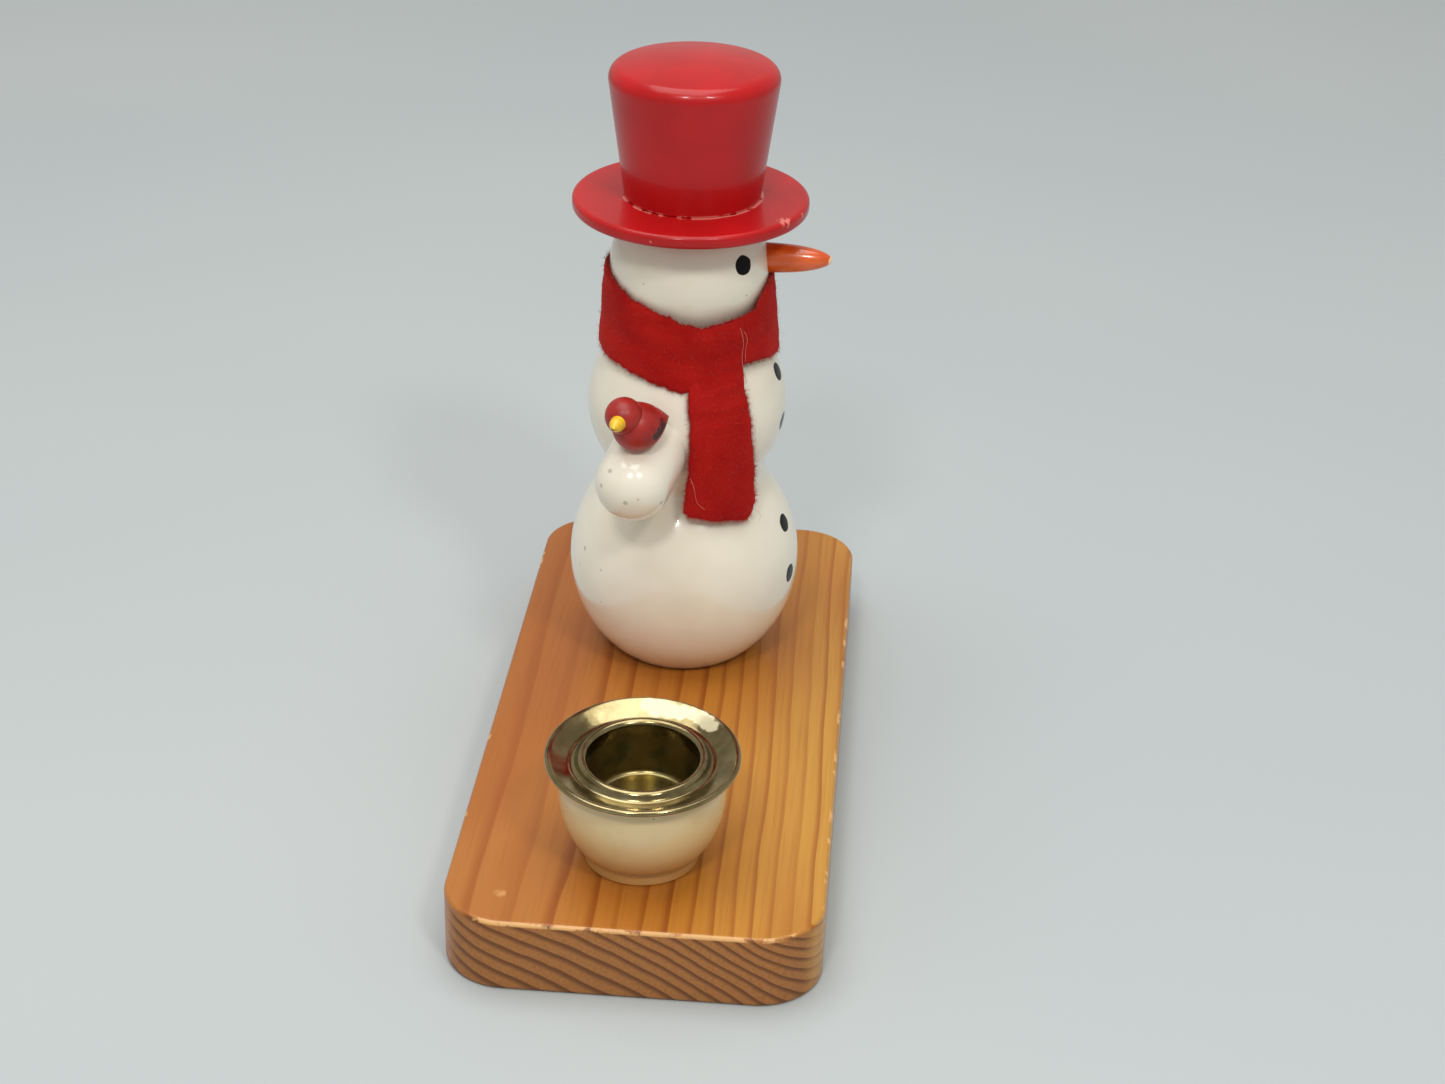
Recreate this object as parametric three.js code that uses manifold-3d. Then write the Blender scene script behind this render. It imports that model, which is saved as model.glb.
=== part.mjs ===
// A turned wooden snowman candle holder: a snowman in a top hat stands at one end of a
// pine board, and a wooden cup with a loose brass candle insert stands at the other.
// Millimetres, +Z up. The origin is the centre of the board's underside, +X runs along
// the board from the candle cup to the snowman, and the snowman looks towards -Y.

import * as THREE from 'three';
import { mergeVertices } from 'three/addons/utils/BufferGeometryUtils.js';
import Module from 'manifold-3d';

const wasm = await Module();
wasm.setup();

// ---------- driving dimensions ----------

const FIT_GAP = 0.3;             // radial play of pegs in holes, and of pieces cut to fit
const GLUE_LINE = 0.1;           // thickness of glue and paint between two flat faces
const ROUND = 36;                // sides of the large turned pieces
const SMALL_ROUND = 20;          // sides of arms, nose, bird and screw heads

const BOARD = { length: 172, width: 76.4, thickness: 16.3, cornerRadius: 13.3, edge: 0.9 };
const SNOWMAN_X = 29.1;
const SNOWMAN_TURN = -15;        // degrees about +Z, towards the candle cup
const CUP_X = -59.3;

// Balls of the snowman, with heights above the board's top face.
const LOWER_BALL = { radius: 26.06, halfHeight: 27.9, height: 22.56 };
const MIDDLE_BALL = { radius: 22.05, halfHeight: 22.28, height: 61.43 };
const HEAD_BALL = { radius: 17.35, halfHeight: 18.25, height: 93.4 };
const NECK_HEIGHT = 80.2;        // flat where the head is glued on
const WAIST = { radius: 16.17, height: 45.34, lowerStart: 40, middleStart: -31 };
const NECK_DOWEL = { radius: 3, length: 16 };

const BRIM = { radius: 25.45, thickness: 2.95, top: 109.3, edge: 0.9 };
const CROWN = {
  footRadius: 14.7, topRadius: 18.15, height: 28.6, edge: 3, dome: 1.5,
  offset: 0.35,                  // it is glued on slightly off centre, towards -Y
};
const HAT_DOWEL = { radius: 2.5, below: 6, above: 7 };

// The head is glued on turned a little to the snowman's left, so the nose isn't above the buttons.
const NOSE = {
  azimuth: -16, rootDistance: 13.5, tipDistance: 30.8, radius: 3.3, height: 95.55, fullness: 2.65,
};

const ARM = { radius: 8.2, handDistance: 30, handHeight: 53.9, rootDistance: 15, azimuth: 92, fall: 22 };
const ARM_DOWEL = { radius: 2.2, from: 10.5, to: 24 };

const BIRD = {
  azimuth: 90.5, distance: 30.3, height: 67.5, bodyRadius: 5.3, tailReach: 7.7,
  headRadius: 4.1, headReach: 4.6,
  tailAzimuth: -47.8, tailRise: 6.6, headAzimuth: 125, headRise: 45, beakAzimuth: 88, beakRise: 0.5,
};
const BEAK = { radius: 1.75, tipRadius: 0.55, length: 3, sunk: 1 };
const BIRD_PEG = { radius: 0.8, length: 9 };

const SCARF = {
  top: 89, bottom: 73.2, topRadius: 17.7, middleRadius: 19.5, bottomRadius: 20,
  thickness: 1.3, tailFoot: 40.7, tailStart: 32, tailEnd: 69, crown: 40,
};

const CUP = {
  footRadius: 11.75, footHeight: 3.4, groove: 0.4, radius: 16.9, halfHeight: 19.5, widest: 16,
  lipRadius: 15.4, lipHeight: 20.6, lipEdge: 0.8, seatHeight: 18.9, boreRadius: 12.6, boreFloor: 9.6,
};
const INSERT = {
  rimHeight: 40.5, tilt: -3.5, rimRadius: 19.7, rimEdge: 0.6, mouthRadius: 11.2, beadRadius: 1.05,
  beadDrop: 1.45, panDepth: 2.1, panGap: 0.8, floorRadius: 8.6, floorEdge: 1.6, depth: 12.6, sheet: 0.7,
};

const SCREW = {
  headRadius: 3.6, headEdge: 0.4, headHeight: 2, shankRadius: 1.6, tipLength: 3, sunk: 0.8,
  slotWidth: 0.9, slotLength: 4.4, slotDepth: 1.1,
};
const BODY_SCREW_LENGTH = 32;
const CUP_SCREW_LENGTH = 22;

// ---------- materials ----------

function material(color, roughness, metalness = 0) {
  return new THREE.MeshStandardMaterial({ color, roughness, metalness });
}

const PINE = material('#c08a4c', 0.5);
const BEECH = material('#d9b98c', 0.7);
const WHITE_ENAMEL = material('#e6dfcb', 0.25);
const RED_ENAMEL = material('#a5202a', 0.3);
const MATT_RED = material('#a32430', 0.55);
const ORANGE_ENAMEL = material('#cf5f28', 0.3);
const YELLOW_ENAMEL = material('#e0b21c', 0.45);
const RED_FELT = material('#a01c18', 0.95);
const IVORY_ENAMEL = material('#d8c8a2', 0.35);
const BRASS = material('#8f8660', 0.3, 1);
const STEEL = material('#9a9a96', 0.4, 1);

// ---------- solids ----------

function solidFrom(geometry) {
  const bare = geometry.index ? geometry.toNonIndexed() : geometry.clone();
  bare.deleteAttribute('normal');
  bare.deleteAttribute('uv');
  const merged = mergeVertices(bare, 1e-4);
  return new wasm.Manifold(new wasm.Mesh({
    numProp: 3,
    vertProperties: new Float32Array(merged.attributes.position.array),
    triVerts: new Uint32Array(merged.index.array),
  }));
}

function geometryFrom(solid) {
  const mesh = solid.getMesh();
  const geometry = new THREE.BufferGeometry();
  geometry.setAttribute('position', new THREE.BufferAttribute(mesh.vertProperties, 3));
  geometry.setIndex(new THREE.BufferAttribute(mesh.triVerts, 1));
  geometry.computeVertexNormals();
  return geometry;
}

// A solid of revolution about Z, from [radius, height] pairs that run from bottom to top.
function turnedGeometry(profile, sides = ROUND) {
  const points = profile.map(([radius, height]) => new THREE.Vector2(radius, height));
  return new THREE.LatheGeometry(points, sides).rotateX(Math.PI / 2);
}

function turned(profile, sides = ROUND) {
  return solidFrom(turnedGeometry(profile, sides));
}

// The same, with the axis of revolution laid along a direction from a starting point.
function turnedAlong(profile, start, direction, sides = SMALL_ROUND) {
  const turn = new THREE.Quaternion().setFromUnitVectors(new THREE.Vector3(0, 0, 1), direction);
  const geometry = turnedGeometry(profile, sides).applyQuaternion(turn);
  return solidFrom(geometry.translate(start.x, start.y, start.z));
}

function rod(radius, length) {
  return [[0, 0], [radius, 0], [radius, length], [0, length]];
}

function box(width, depth, height, x, y, z) {
  return solidFrom(new THREE.BoxGeometry(width, depth, height).translate(x, y, z));
}

// Points of an upright ellipse, by angle in degrees above its equator.
function ellipseArc(ball, from, to, steps, extra = 0) {
  return Array.from({ length: steps + 1 }, (_, index) => {
    const angle = THREE.MathUtils.degToRad(from + (to - from) * index / steps);
    return [
      (ball.radius + extra) * Math.cos(angle),
      ball.height + (ball.halfHeight + extra) * Math.sin(angle),
    ];
  });
}

function angleAtHeight(ball, height) {
  return THREE.MathUtils.radToDeg(Math.asin((height - ball.height) / ball.halfHeight));
}

// A unit direction by azimuth, from the snowman's front (-Y) round to its right (-X),
// and by rise above the horizontal, both in degrees.
function direction(azimuth, rise = 0) {
  const around = THREE.MathUtils.degToRad(azimuth);
  const up = THREE.MathUtils.degToRad(rise);
  return new THREE.Vector3(
    -Math.sin(around) * Math.cos(up),
    -Math.cos(around) * Math.cos(up),
    Math.sin(up),
  );
}

function placeAt(azimuth, distance, height) {
  return direction(azimuth).multiplyScalar(distance).setZ(height);
}

function addPiece(parent, name, solid, finish) {
  const mesh = new THREE.Mesh(geometryFrom(solid), finish);
  mesh.name = name;
  parent.add(mesh);
}

// ---------- board and screws ----------

function roundedRectangle(length, width, radius) {
  const shape = new THREE.Shape();
  const x = length / 2;
  const y = width / 2;
  shape.moveTo(-x + radius, -y);
  shape.lineTo(x - radius, -y);
  shape.absarc(x - radius, -y + radius, radius, -Math.PI / 2, 0);
  shape.lineTo(x, y - radius);
  shape.absarc(x - radius, y - radius, radius, 0, Math.PI / 2);
  shape.lineTo(-x + radius, y);
  shape.absarc(-x + radius, y - radius, radius, Math.PI / 2, Math.PI);
  shape.lineTo(-x, -y + radius);
  shape.absarc(-x + radius, -y + radius, radius, Math.PI, Math.PI * 1.5);
  return shape;
}

function screwHole() {
  const headRadius = SCREW.headRadius + FIT_GAP;
  const holeRadius = SCREW.shankRadius + FIT_GAP;
  const coneTop = SCREW.sunk + SCREW.headHeight + FIT_GAP;
  return [
    [0, -1], [headRadius, -1], [headRadius, SCREW.sunk + FIT_GAP],
    [holeRadius, coneTop], [holeRadius, BOARD.thickness + 1], [0, BOARD.thickness + 1],
  ];
}

function baseBoard() {
  const { length, width, thickness, cornerRadius, edge } = BOARD;
  const outline = roundedRectangle(length - 2 * edge, width - 2 * edge, cornerRadius - edge);
  const plank = solidFrom(new THREE.ExtrudeGeometry(outline, {
    depth: thickness - 2 * edge,
    bevelThickness: edge,
    bevelSize: edge,
    bevelSegments: 2,
    curveSegments: 8,
  }).translate(0, 0, edge));
  return [SNOWMAN_X, CUP_X].reduce((wood, x) => {
    const hole = turnedGeometry(screwHole(), SMALL_ROUND).translate(x, 0, 0);
    return wood.subtract(solidFrom(hole));
  }, plank);
}

function woodScrew(length) {
  const { headRadius, headEdge, headHeight, shankRadius, tipLength } = SCREW;
  const { slotWidth, slotLength, slotDepth } = SCREW;
  const blank = turned([
    [0, 0], [headRadius, 0], [headRadius, headEdge], [shankRadius, headHeight],
    [shankRadius, length - tipLength], [0, length],
  ], SMALL_ROUND);
  return blank
    .subtract(box(slotLength, slotWidth, 2 * slotDepth, 0, 0, 0))
    .subtract(box(slotWidth, slotLength, 2 * slotDepth, 0, 0, 0));
}

// ---------- snowman ----------

// The turned body: two balls with a filleted waist, cut flat at the foot and the neck.
function bodyProfile(extra = 0) {
  const foot = angleAtHeight(LOWER_BALL, 0);
  const neck = angleAtHeight(MIDDLE_BALL, NECK_HEIGHT);
  const lower = ellipseArc(LOWER_BALL, foot, WAIST.lowerStart, 10, extra);
  const middle = ellipseArc(MIDDLE_BALL, WAIST.middleStart, neck, 9, extra);
  const fillet = new THREE.QuadraticBezierCurve(
    new THREE.Vector2(...lower.at(-1)),
    new THREE.Vector2(WAIST.radius + extra, WAIST.height),
    new THREE.Vector2(...middle[0]),
  ).getPoints(4).slice(1, -1).map((point) => [point.x, point.y]);
  return [
    [0, lower[0][1]], ...lower, ...fillet, ...middle, [0, middle.at(-1)[1]],
  ];
}

function neckDowelStart() {
  return NECK_HEIGHT - NECK_DOWEL.length / 2;
}

// Both arms: side is 1 for the snowman's right arm and -1 for its left.
function armStart(side, distance) {
  const along = (ARM.handDistance - distance) / Math.cos(THREE.MathUtils.degToRad(ARM.fall));
  return placeAt(side * ARM.azimuth, ARM.handDistance, ARM.handHeight)
    .addScaledVector(direction(side * ARM.azimuth, -ARM.fall), -along);
}

function armAxis(side) {
  return direction(side * ARM.azimuth, -ARM.fall);
}

function armDowel(side, play = 0) {
  const length = ARM_DOWEL.to - ARM_DOWEL.from + 2 * play;
  const start = armStart(side, ARM_DOWEL.from).addScaledVector(armAxis(side), -play);
  return turnedAlong(rod(ARM_DOWEL.radius + play, length), start, armAxis(side), 16);
}

function arm(side) {
  const length = armStart(side, ARM.rootDistance).distanceTo(armStart(side, ARM.handDistance));
  const hand = { radius: ARM.radius, halfHeight: ARM.radius, height: length };
  const profile = [[0, 0], ...ellipseArc(hand, 0, 90, 6)];
  profile.splice(1, 0, [ARM.radius, 0]);
  return turnedAlong(profile, armStart(side, ARM.rootDistance), armAxis(side))
    .subtract(turned(bodyProfile(FIT_GAP)))
    .subtract(armDowel(side, FIT_GAP));
}

function body() {
  const pilotDepth = BODY_SCREW_LENGTH - BOARD.thickness + 2;
  const pilot = turned(rod(SCREW.shankRadius + FIT_GAP, pilotDepth), SMALL_ROUND);
  const neckHole = turnedGeometry(rod(NECK_DOWEL.radius + FIT_GAP, NECK_DOWEL.length), SMALL_ROUND)
    .translate(0, 0, neckDowelStart() - FIT_GAP);
  return turned(bodyProfile())
    .subtract(pilot)
    .subtract(solidFrom(neckHole))
    .subtract(armDowel(1, FIT_GAP))
    .subtract(armDowel(-1, FIT_GAP));
}

function noseStart() {
  return placeAt(NOSE.azimuth, NOSE.rootDistance, NOSE.height);
}

// A blunt carrot that narrows slowly at first and faster towards its tip.
function nose() {
  const length = NOSE.tipDistance - NOSE.rootDistance;
  const taper = [0, 0.3, 0.5, 0.65, 0.78, 0.88, 0.95, 0.99].map((share) => (
    [NOSE.radius * Math.sqrt(1 - share ** NOSE.fullness), share * length]
  ));
  return turnedAlong([[0, 0], ...taper, [0, length]], noseStart(), direction(NOSE.azimuth));
}

function head() {
  const bottom = NECK_HEIGHT + GLUE_LINE;
  const top = BRIM.top - BRIM.thickness - GLUE_LINE;
  const skull = turned([
    [0, bottom],
    ...ellipseArc(HEAD_BALL, angleAtHeight(HEAD_BALL, bottom), angleAtHeight(HEAD_BALL, top), 11),
    [0, top],
  ]);
  const neckHole = turnedGeometry(rod(NECK_DOWEL.radius + FIT_GAP, NECK_DOWEL.length / 2 + 1), SMALL_ROUND)
    .translate(0, 0, NECK_HEIGHT - 1 + FIT_GAP);
  const hatHole = turnedGeometry(rod(HAT_DOWEL.radius + FIT_GAP, HAT_DOWEL.below + 2), SMALL_ROUND)
    .translate(0, 0, top - HAT_DOWEL.below);
  const noseHole = turnedAlong(
    rod(NOSE.radius + FIT_GAP, HEAD_BALL.radius),
    noseStart().addScaledVector(direction(NOSE.azimuth), -FIT_GAP),
    direction(NOSE.azimuth),
  );
  return skull.subtract(solidFrom(neckHole)).subtract(solidFrom(hatHole)).subtract(noseHole);
}

function hatBrim() {
  const { radius, thickness, edge } = BRIM;
  const inner = HAT_DOWEL.radius + FIT_GAP;
  return turned([
    [inner, 0], [radius - edge, 0], [radius, edge], [radius, thickness - edge],
    [radius - edge, thickness], [inner, thickness], [inner, 0],
  ]);
}

function hatCrown() {
  const edge = { radius: CROWN.edge, halfHeight: CROWN.edge, height: 0 };
  const shoulder = ellipseArc(edge, 0, 75, 5)
    .map(([out, up]) => [CROWN.topRadius - CROWN.edge + out, CROWN.height - CROWN.edge + up]);
  const dome = [0.7, 0.35].map((share) => (
    [CROWN.topRadius * share, CROWN.height + CROWN.dome * (1 - share ** 2)]
  ));
  const sideways = direction(SNOWMAN_TURN).multiplyScalar(CROWN.offset);
  const crown = turned([
    [0, 0], [CROWN.footRadius, 0], ...shoulder, ...dome, [0, CROWN.height + CROWN.dome],
  ]).translate(sideways.toArray());
  const hole = turnedGeometry(rod(HAT_DOWEL.radius + FIT_GAP, HAT_DOWEL.above + 1), SMALL_ROUND);
  return crown.subtract(solidFrom(hole.translate(0, 0, -1 + FIT_GAP)));
}

// ---------- scarf ----------

function wedge(from, to, reach, bottom, top) {
  const corners = [from, to].map((azimuth) => placeAt(azimuth, reach, 0));
  const shape = new THREE.Shape([
    new THREE.Vector2(0, 0),
    ...corners.map((corner) => new THREE.Vector2(corner.x, corner.y)),
  ]);
  const geometry = new THREE.ExtrudeGeometry(shape, { depth: top - bottom, bevelEnabled: false });
  return solidFrom(geometry.translate(0, 0, bottom));
}

// The felt strip as one plain solid: a ring round the neck, and its end hanging down.
function scarf() {
  const gap = FIT_GAP + GLUE_LINE;
  const neck = angleAtHeight(MIDDLE_BALL, NECK_HEIGHT - 1);
  const ring = turned([
    ...ellipseArc(MIDDLE_BALL, neck, angleAtHeight(MIDDLE_BALL, SCARF.bottom), 3, gap),
    [SCARF.bottomRadius, SCARF.bottom], [SCARF.middleRadius, (SCARF.top + SCARF.bottom) / 2],
    [SCARF.topRadius + 0.6, SCARF.top - 3], [SCARF.topRadius, SCARF.top],
    ...ellipseArc(HEAD_BALL, angleAtHeight(HEAD_BALL, SCARF.top),
      angleAtHeight(HEAD_BALL, NECK_HEIGHT + 1.2), 4, gap),
    ellipseArc(MIDDLE_BALL, neck, 0, 1, gap)[0],
  ]);
  const inner = MIDDLE_BALL.radius + gap;
  const tailBand = turned([
    [inner, SCARF.tailFoot], [inner + SCARF.thickness, SCARF.tailFoot],
    ...ellipseArc(MIDDLE_BALL, 0, SCARF.crown, 5, gap + SCARF.thickness),
    [SCARF.middleRadius, (SCARF.top + SCARF.bottom) / 2 - 2],
    ...ellipseArc(MIDDLE_BALL, SCARF.crown, 0, 5, gap),
    [inner, SCARF.tailFoot],
  ]);
  const tail = tailBand.intersect(
    wedge(SCARF.tailStart, SCARF.tailEnd, 2 * inner, SCARF.tailFoot - 1, SCARF.top),
  );
  return ring.add(tail);
}

// ---------- bird ----------

function birdCentre() {
  return placeAt(BIRD.azimuth, BIRD.distance, BIRD.height);
}

function headDirection() {
  return direction(BIRD.headAzimuth, BIRD.headRise);
}

function birdHeadCentre() {
  return birdCentre().addScaledVector(headDirection(), BIRD.headReach);
}

// Distance from the body's centre to the flat where the head is glued on.
function birdNeck() {
  const { bodyRadius, headRadius, headReach } = BIRD;
  return (headReach ** 2 + bodyRadius ** 2 - headRadius ** 2) / (2 * headReach);
}

function birdPegHole() {
  const start = birdCentre().setZ(BIRD.height - BIRD_PEG.length - FIT_GAP);
  return turnedAlong(rod(BIRD_PEG.radius + FIT_GAP, BIRD_PEG.length), start, direction(0, 90), 12);
}

// A ball drawn out to a short pointed tail, with its underside cut to sit on the hand.
function birdBody() {
  const { bodyRadius, tailReach } = BIRD;
  const ball = { radius: bodyRadius, halfHeight: bodyRadius, height: 0 };
  const tail = [0.15, 0.3, 0.45, 0.6, 0.75, 0.9, 1].map((share) => (
    [bodyRadius * (1 - share ** 2), share * tailReach]
  ));
  const profile = [[0, -bodyRadius], ...ellipseArc(ball, -80, 0, 6), ...tail];
  const hand = turnedAlong(
    rod(ARM.radius + FIT_GAP, 2 * ARM.radius),
    armStart(1, ARM.handDistance - ARM.radius),
    armAxis(1),
  );
  const neckCut = turnedAlong(
    rod(2 * bodyRadius, bodyRadius),
    birdCentre().addScaledVector(headDirection(), birdNeck() - GLUE_LINE),
    headDirection(),
  );
  return turnedAlong(profile, birdCentre(), direction(BIRD.tailAzimuth, BIRD.tailRise))
    .subtract(neckCut)
    .subtract(hand)
    .subtract(birdPegHole());
}

function beakStart(play = 0) {
  return birdHeadCentre().addScaledVector(beakDirection(), BIRD.headRadius - BEAK.sunk - play);
}

function beakDirection() {
  return direction(BIRD.beakAzimuth, BIRD.beakRise);
}

function birdHead() {
  const ball = { radius: BIRD.headRadius, halfHeight: BIRD.headRadius, height: 0 };
  const cut = birdNeck() + GLUE_LINE - BIRD.headReach;
  const profile = [[0, cut], ...ellipseArc(ball, angleAtHeight(ball, cut), 90, 7)];
  const beakHole = turnedAlong(
    rod(BEAK.radius + FIT_GAP, 2 * BIRD.headRadius), beakStart(FIT_GAP), beakDirection(), 12,
  );
  return turnedAlong(profile, birdHeadCentre(), headDirection()).subtract(beakHole);
}

function birdBeak() {
  const length = BEAK.length + BEAK.sunk;
  const profile = [
    [0, 0], [BEAK.radius, 0], [BEAK.radius, BEAK.sunk],
    [BEAK.tipRadius, length - BEAK.tipRadius / 2], [0, length],
  ];
  return turnedAlong(profile, beakStart(), beakDirection(), 12);
}

// ---------- candle cup ----------

function candleCup() {
  const { footRadius, footHeight, groove, lipHeight, lipEdge } = CUP;
  const ball = { radius: CUP.radius, halfHeight: CUP.halfHeight, height: CUP.widest };
  const bowlStart = angleAtHeight(ball, footHeight + groove);
  const bowl = ellipseArc(ball, bowlStart, angleAtHeight(ball, lipHeight - lipEdge), 8);
  const turnedCup = turned([
    [0, 0], [footRadius, 0], [footRadius, footHeight - groove], [footRadius - groove, footHeight],
    ...bowl, [bowl.at(-1)[0] - lipEdge, lipHeight], [CUP.lipRadius, lipHeight],
    [CUP.boreRadius, CUP.seatHeight], [CUP.boreRadius, CUP.boreFloor], [0, CUP.boreFloor],
  ]);
  const pilotDepth = CUP_SCREW_LENGTH + SCREW.sunk + FIT_GAP - BOARD.thickness;
  return turnedCup.subtract(turned(rod(SCREW.shankRadius + FIT_GAP, pilotDepth), SMALL_ROUND));
}

// The pressed insert, about its own axis and with height 0 at its rim: a well for the
// candle, a beaded mouth, and a shallow drip pan with a rolled edge.
function candleInsert() {
  const { rimRadius, rimEdge, mouthRadius, beadRadius, beadDrop, panDepth, panGap } = INSERT;
  const { floorRadius, floorEdge, depth, sheet } = INSERT;
  const mouth = { radius: beadRadius, halfHeight: beadRadius, height: -beadDrop };
  const bead = ellipseArc(mouth, 0, 180, 6)
    .map(([out, up]) => [mouthRadius + beadRadius + out, up]);
  const rim = { radius: rimEdge, halfHeight: rimEdge, height: -rimEdge };
  const rolledEdge = ellipseArc(rim, -90, 90, 4).map(([out, up]) => [rimRadius - rimEdge + out, up]);
  const trough = mouthRadius + 2 * beadRadius + panGap;
  const wellFoot = floorRadius + floorEdge;
  return turned([
    [0, -depth - sheet], [wellFoot, -depth - sheet], [wellFoot + sheet, -depth],
    [mouthRadius + sheet, -2 * panDepth], [trough - panGap, -panDepth - sheet],
    [trough, -panDepth - sheet], ...rolledEdge, [trough, -panDepth],
    [trough - panGap, -panDepth], ...bead, [wellFoot, floorEdge - depth],
    [floorRadius, -depth], [0, -depth],
  ]);
}

// ---------- assembly ----------

const holder = new THREE.Group();
addPiece(holder, 'base_board', baseBoard(), PINE);

const screws = new THREE.Group();
screws.position.z = SCREW.sunk;
holder.add(screws);
[['body_screw', SNOWMAN_X, BODY_SCREW_LENGTH], ['cup_screw', CUP_X, CUP_SCREW_LENGTH]]
  .forEach(([name, x, length]) => {
    addPiece(screws, name, woodScrew(length), STEEL);
    screws.getObjectByName(name).position.x = x;
  });

const snowman = new THREE.Group();
snowman.position.set(SNOWMAN_X, 0, BOARD.thickness + GLUE_LINE);
snowman.rotation.z = THREE.MathUtils.degToRad(SNOWMAN_TURN);
holder.add(snowman);

addPiece(snowman, 'body', body(), WHITE_ENAMEL);
const neckDowel = turnedGeometry(rod(NECK_DOWEL.radius, NECK_DOWEL.length), SMALL_ROUND);
addPiece(snowman, 'neck_dowel', solidFrom(neckDowel.translate(0, 0, neckDowelStart())), BEECH);
addPiece(snowman, 'head', head(), WHITE_ENAMEL);
addPiece(snowman, 'nose', nose(), ORANGE_ENAMEL);
addPiece(snowman, 'scarf', scarf(), RED_FELT);
[['right_arm', 1], ['left_arm', -1]].forEach(([name, side]) => {
  const limb = side === 1 ? arm(side).subtract(birdPegHole()) : arm(side);
  addPiece(snowman, name, limb, WHITE_ENAMEL);
  addPiece(snowman, `${name}_dowel`, armDowel(side), BEECH);
});

const hat = new THREE.Group();
hat.position.z = BRIM.top;
snowman.add(hat);
addPiece(hat, 'hat_brim', hatBrim().translate([0, 0, -BRIM.thickness]), RED_ENAMEL);
addPiece(hat, 'hat_crown', hatCrown().translate([0, 0, GLUE_LINE]), RED_ENAMEL);
const hatDowelLength = HAT_DOWEL.below + BRIM.thickness + HAT_DOWEL.above - 2 * FIT_GAP;
const hatDowel = turnedGeometry(rod(HAT_DOWEL.radius, hatDowelLength), SMALL_ROUND)
  .translate(0, 0, FIT_GAP - HAT_DOWEL.below - BRIM.thickness);
addPiece(hat, 'hat_dowel', solidFrom(hatDowel), BEECH);

addPiece(snowman, 'bird_body', birdBody(), MATT_RED);
addPiece(snowman, 'bird_head', birdHead(), MATT_RED);
addPiece(snowman, 'bird_beak', birdBeak(), YELLOW_ENAMEL);
const pegStart = birdCentre().setZ(BIRD.height - BIRD_PEG.length);
const birdPeg = turnedAlong(
  rod(BIRD_PEG.radius, BIRD_PEG.length - 2 * FIT_GAP), pegStart, direction(0, 90), 12,
);
addPiece(snowman, 'bird_peg', birdPeg, BEECH);

const cup = new THREE.Group();
cup.position.set(CUP_X, 0, BOARD.thickness + GLUE_LINE);
holder.add(cup);
addPiece(cup, 'candle_cup', candleCup(), IVORY_ENAMEL);

const insert = new THREE.Group();
insert.position.set(CUP_X, 0, INSERT.rimHeight);
insert.rotation.y = THREE.MathUtils.degToRad(INSERT.tilt);
holder.add(insert);
addPiece(insert, 'candle_insert', candleInsert(), BRASS);

export default holder;
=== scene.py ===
"""A turned wooden snowman candle holder: fine surfaces, felt scarf, paint, wood and a plain studio.

Sizes are millimetres in the tables below and become metres where meshes are made. Azimuths are
in degrees about the snowman's axis, from -Y round towards -X, and lamps turn the other way.
"""

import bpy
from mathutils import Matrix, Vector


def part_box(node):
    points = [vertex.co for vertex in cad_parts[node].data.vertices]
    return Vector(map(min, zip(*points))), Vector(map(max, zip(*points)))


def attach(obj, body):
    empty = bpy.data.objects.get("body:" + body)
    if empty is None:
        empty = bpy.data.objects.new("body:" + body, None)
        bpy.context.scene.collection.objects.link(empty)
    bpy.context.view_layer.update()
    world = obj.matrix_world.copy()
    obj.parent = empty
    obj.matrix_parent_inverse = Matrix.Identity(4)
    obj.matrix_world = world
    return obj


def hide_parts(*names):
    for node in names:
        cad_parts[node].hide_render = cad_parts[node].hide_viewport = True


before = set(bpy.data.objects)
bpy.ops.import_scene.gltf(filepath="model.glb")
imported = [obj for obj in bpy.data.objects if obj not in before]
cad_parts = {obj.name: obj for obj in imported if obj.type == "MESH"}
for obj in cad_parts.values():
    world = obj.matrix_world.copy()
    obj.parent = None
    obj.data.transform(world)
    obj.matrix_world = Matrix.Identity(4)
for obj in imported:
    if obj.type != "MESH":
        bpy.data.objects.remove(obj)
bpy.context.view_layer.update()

import math

import bmesh
import bpy
import numpy as np
from mathutils import Matrix, Vector

MM = 0.001
UP = Vector((0, 0, 1))
SIDES = 160                      # round the large turned pieces

# ---------- places taken from the frame ----------


def box_mm(node):
    low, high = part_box(node)
    return np.array(low) / MM, np.array(high) / MM


def axis_of(node):
    low, high = box_mm(node)
    return (low[:2] + high[:2]) / 2


BOARD_LOW, BOARD_HIGH = box_mm("base_board")
BODY_LOW, BODY_HIGH = box_mm("body")
HEAD_LOW, HEAD_HIGH = box_mm("head")
BRIM_LOW, BRIM_HIGH = box_mm("hat_brim")
CROWN_LOW, CROWN_HIGH = box_mm("hat_crown")
CUP_LOW, CUP_HIGH = box_mm("candle_cup")
SNOWMAN = np.append(axis_of("hat_brim"), 0)
CUP_AXIS = axis_of("candle_cup")
CROWN_AXIS = axis_of("hat_crown")

# ---------- driving dimensions, in mm and degrees unless a comment says otherwise ----------

CORNER_RADIUS = 13.3
BOARD_EDGE = 1.0
# Screw recesses beneath: clearance, ends of the mouth and the cone, shank radius, whole depth.
RECESS_GAP, RECESS_MOUTH, RECESS_CONE, RECESS_SHANK, RECESS_DEPTH = 0.3, 1.2, 3.2, 1.9, 8

FRONT = 15                       # the way the snowman looks
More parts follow.
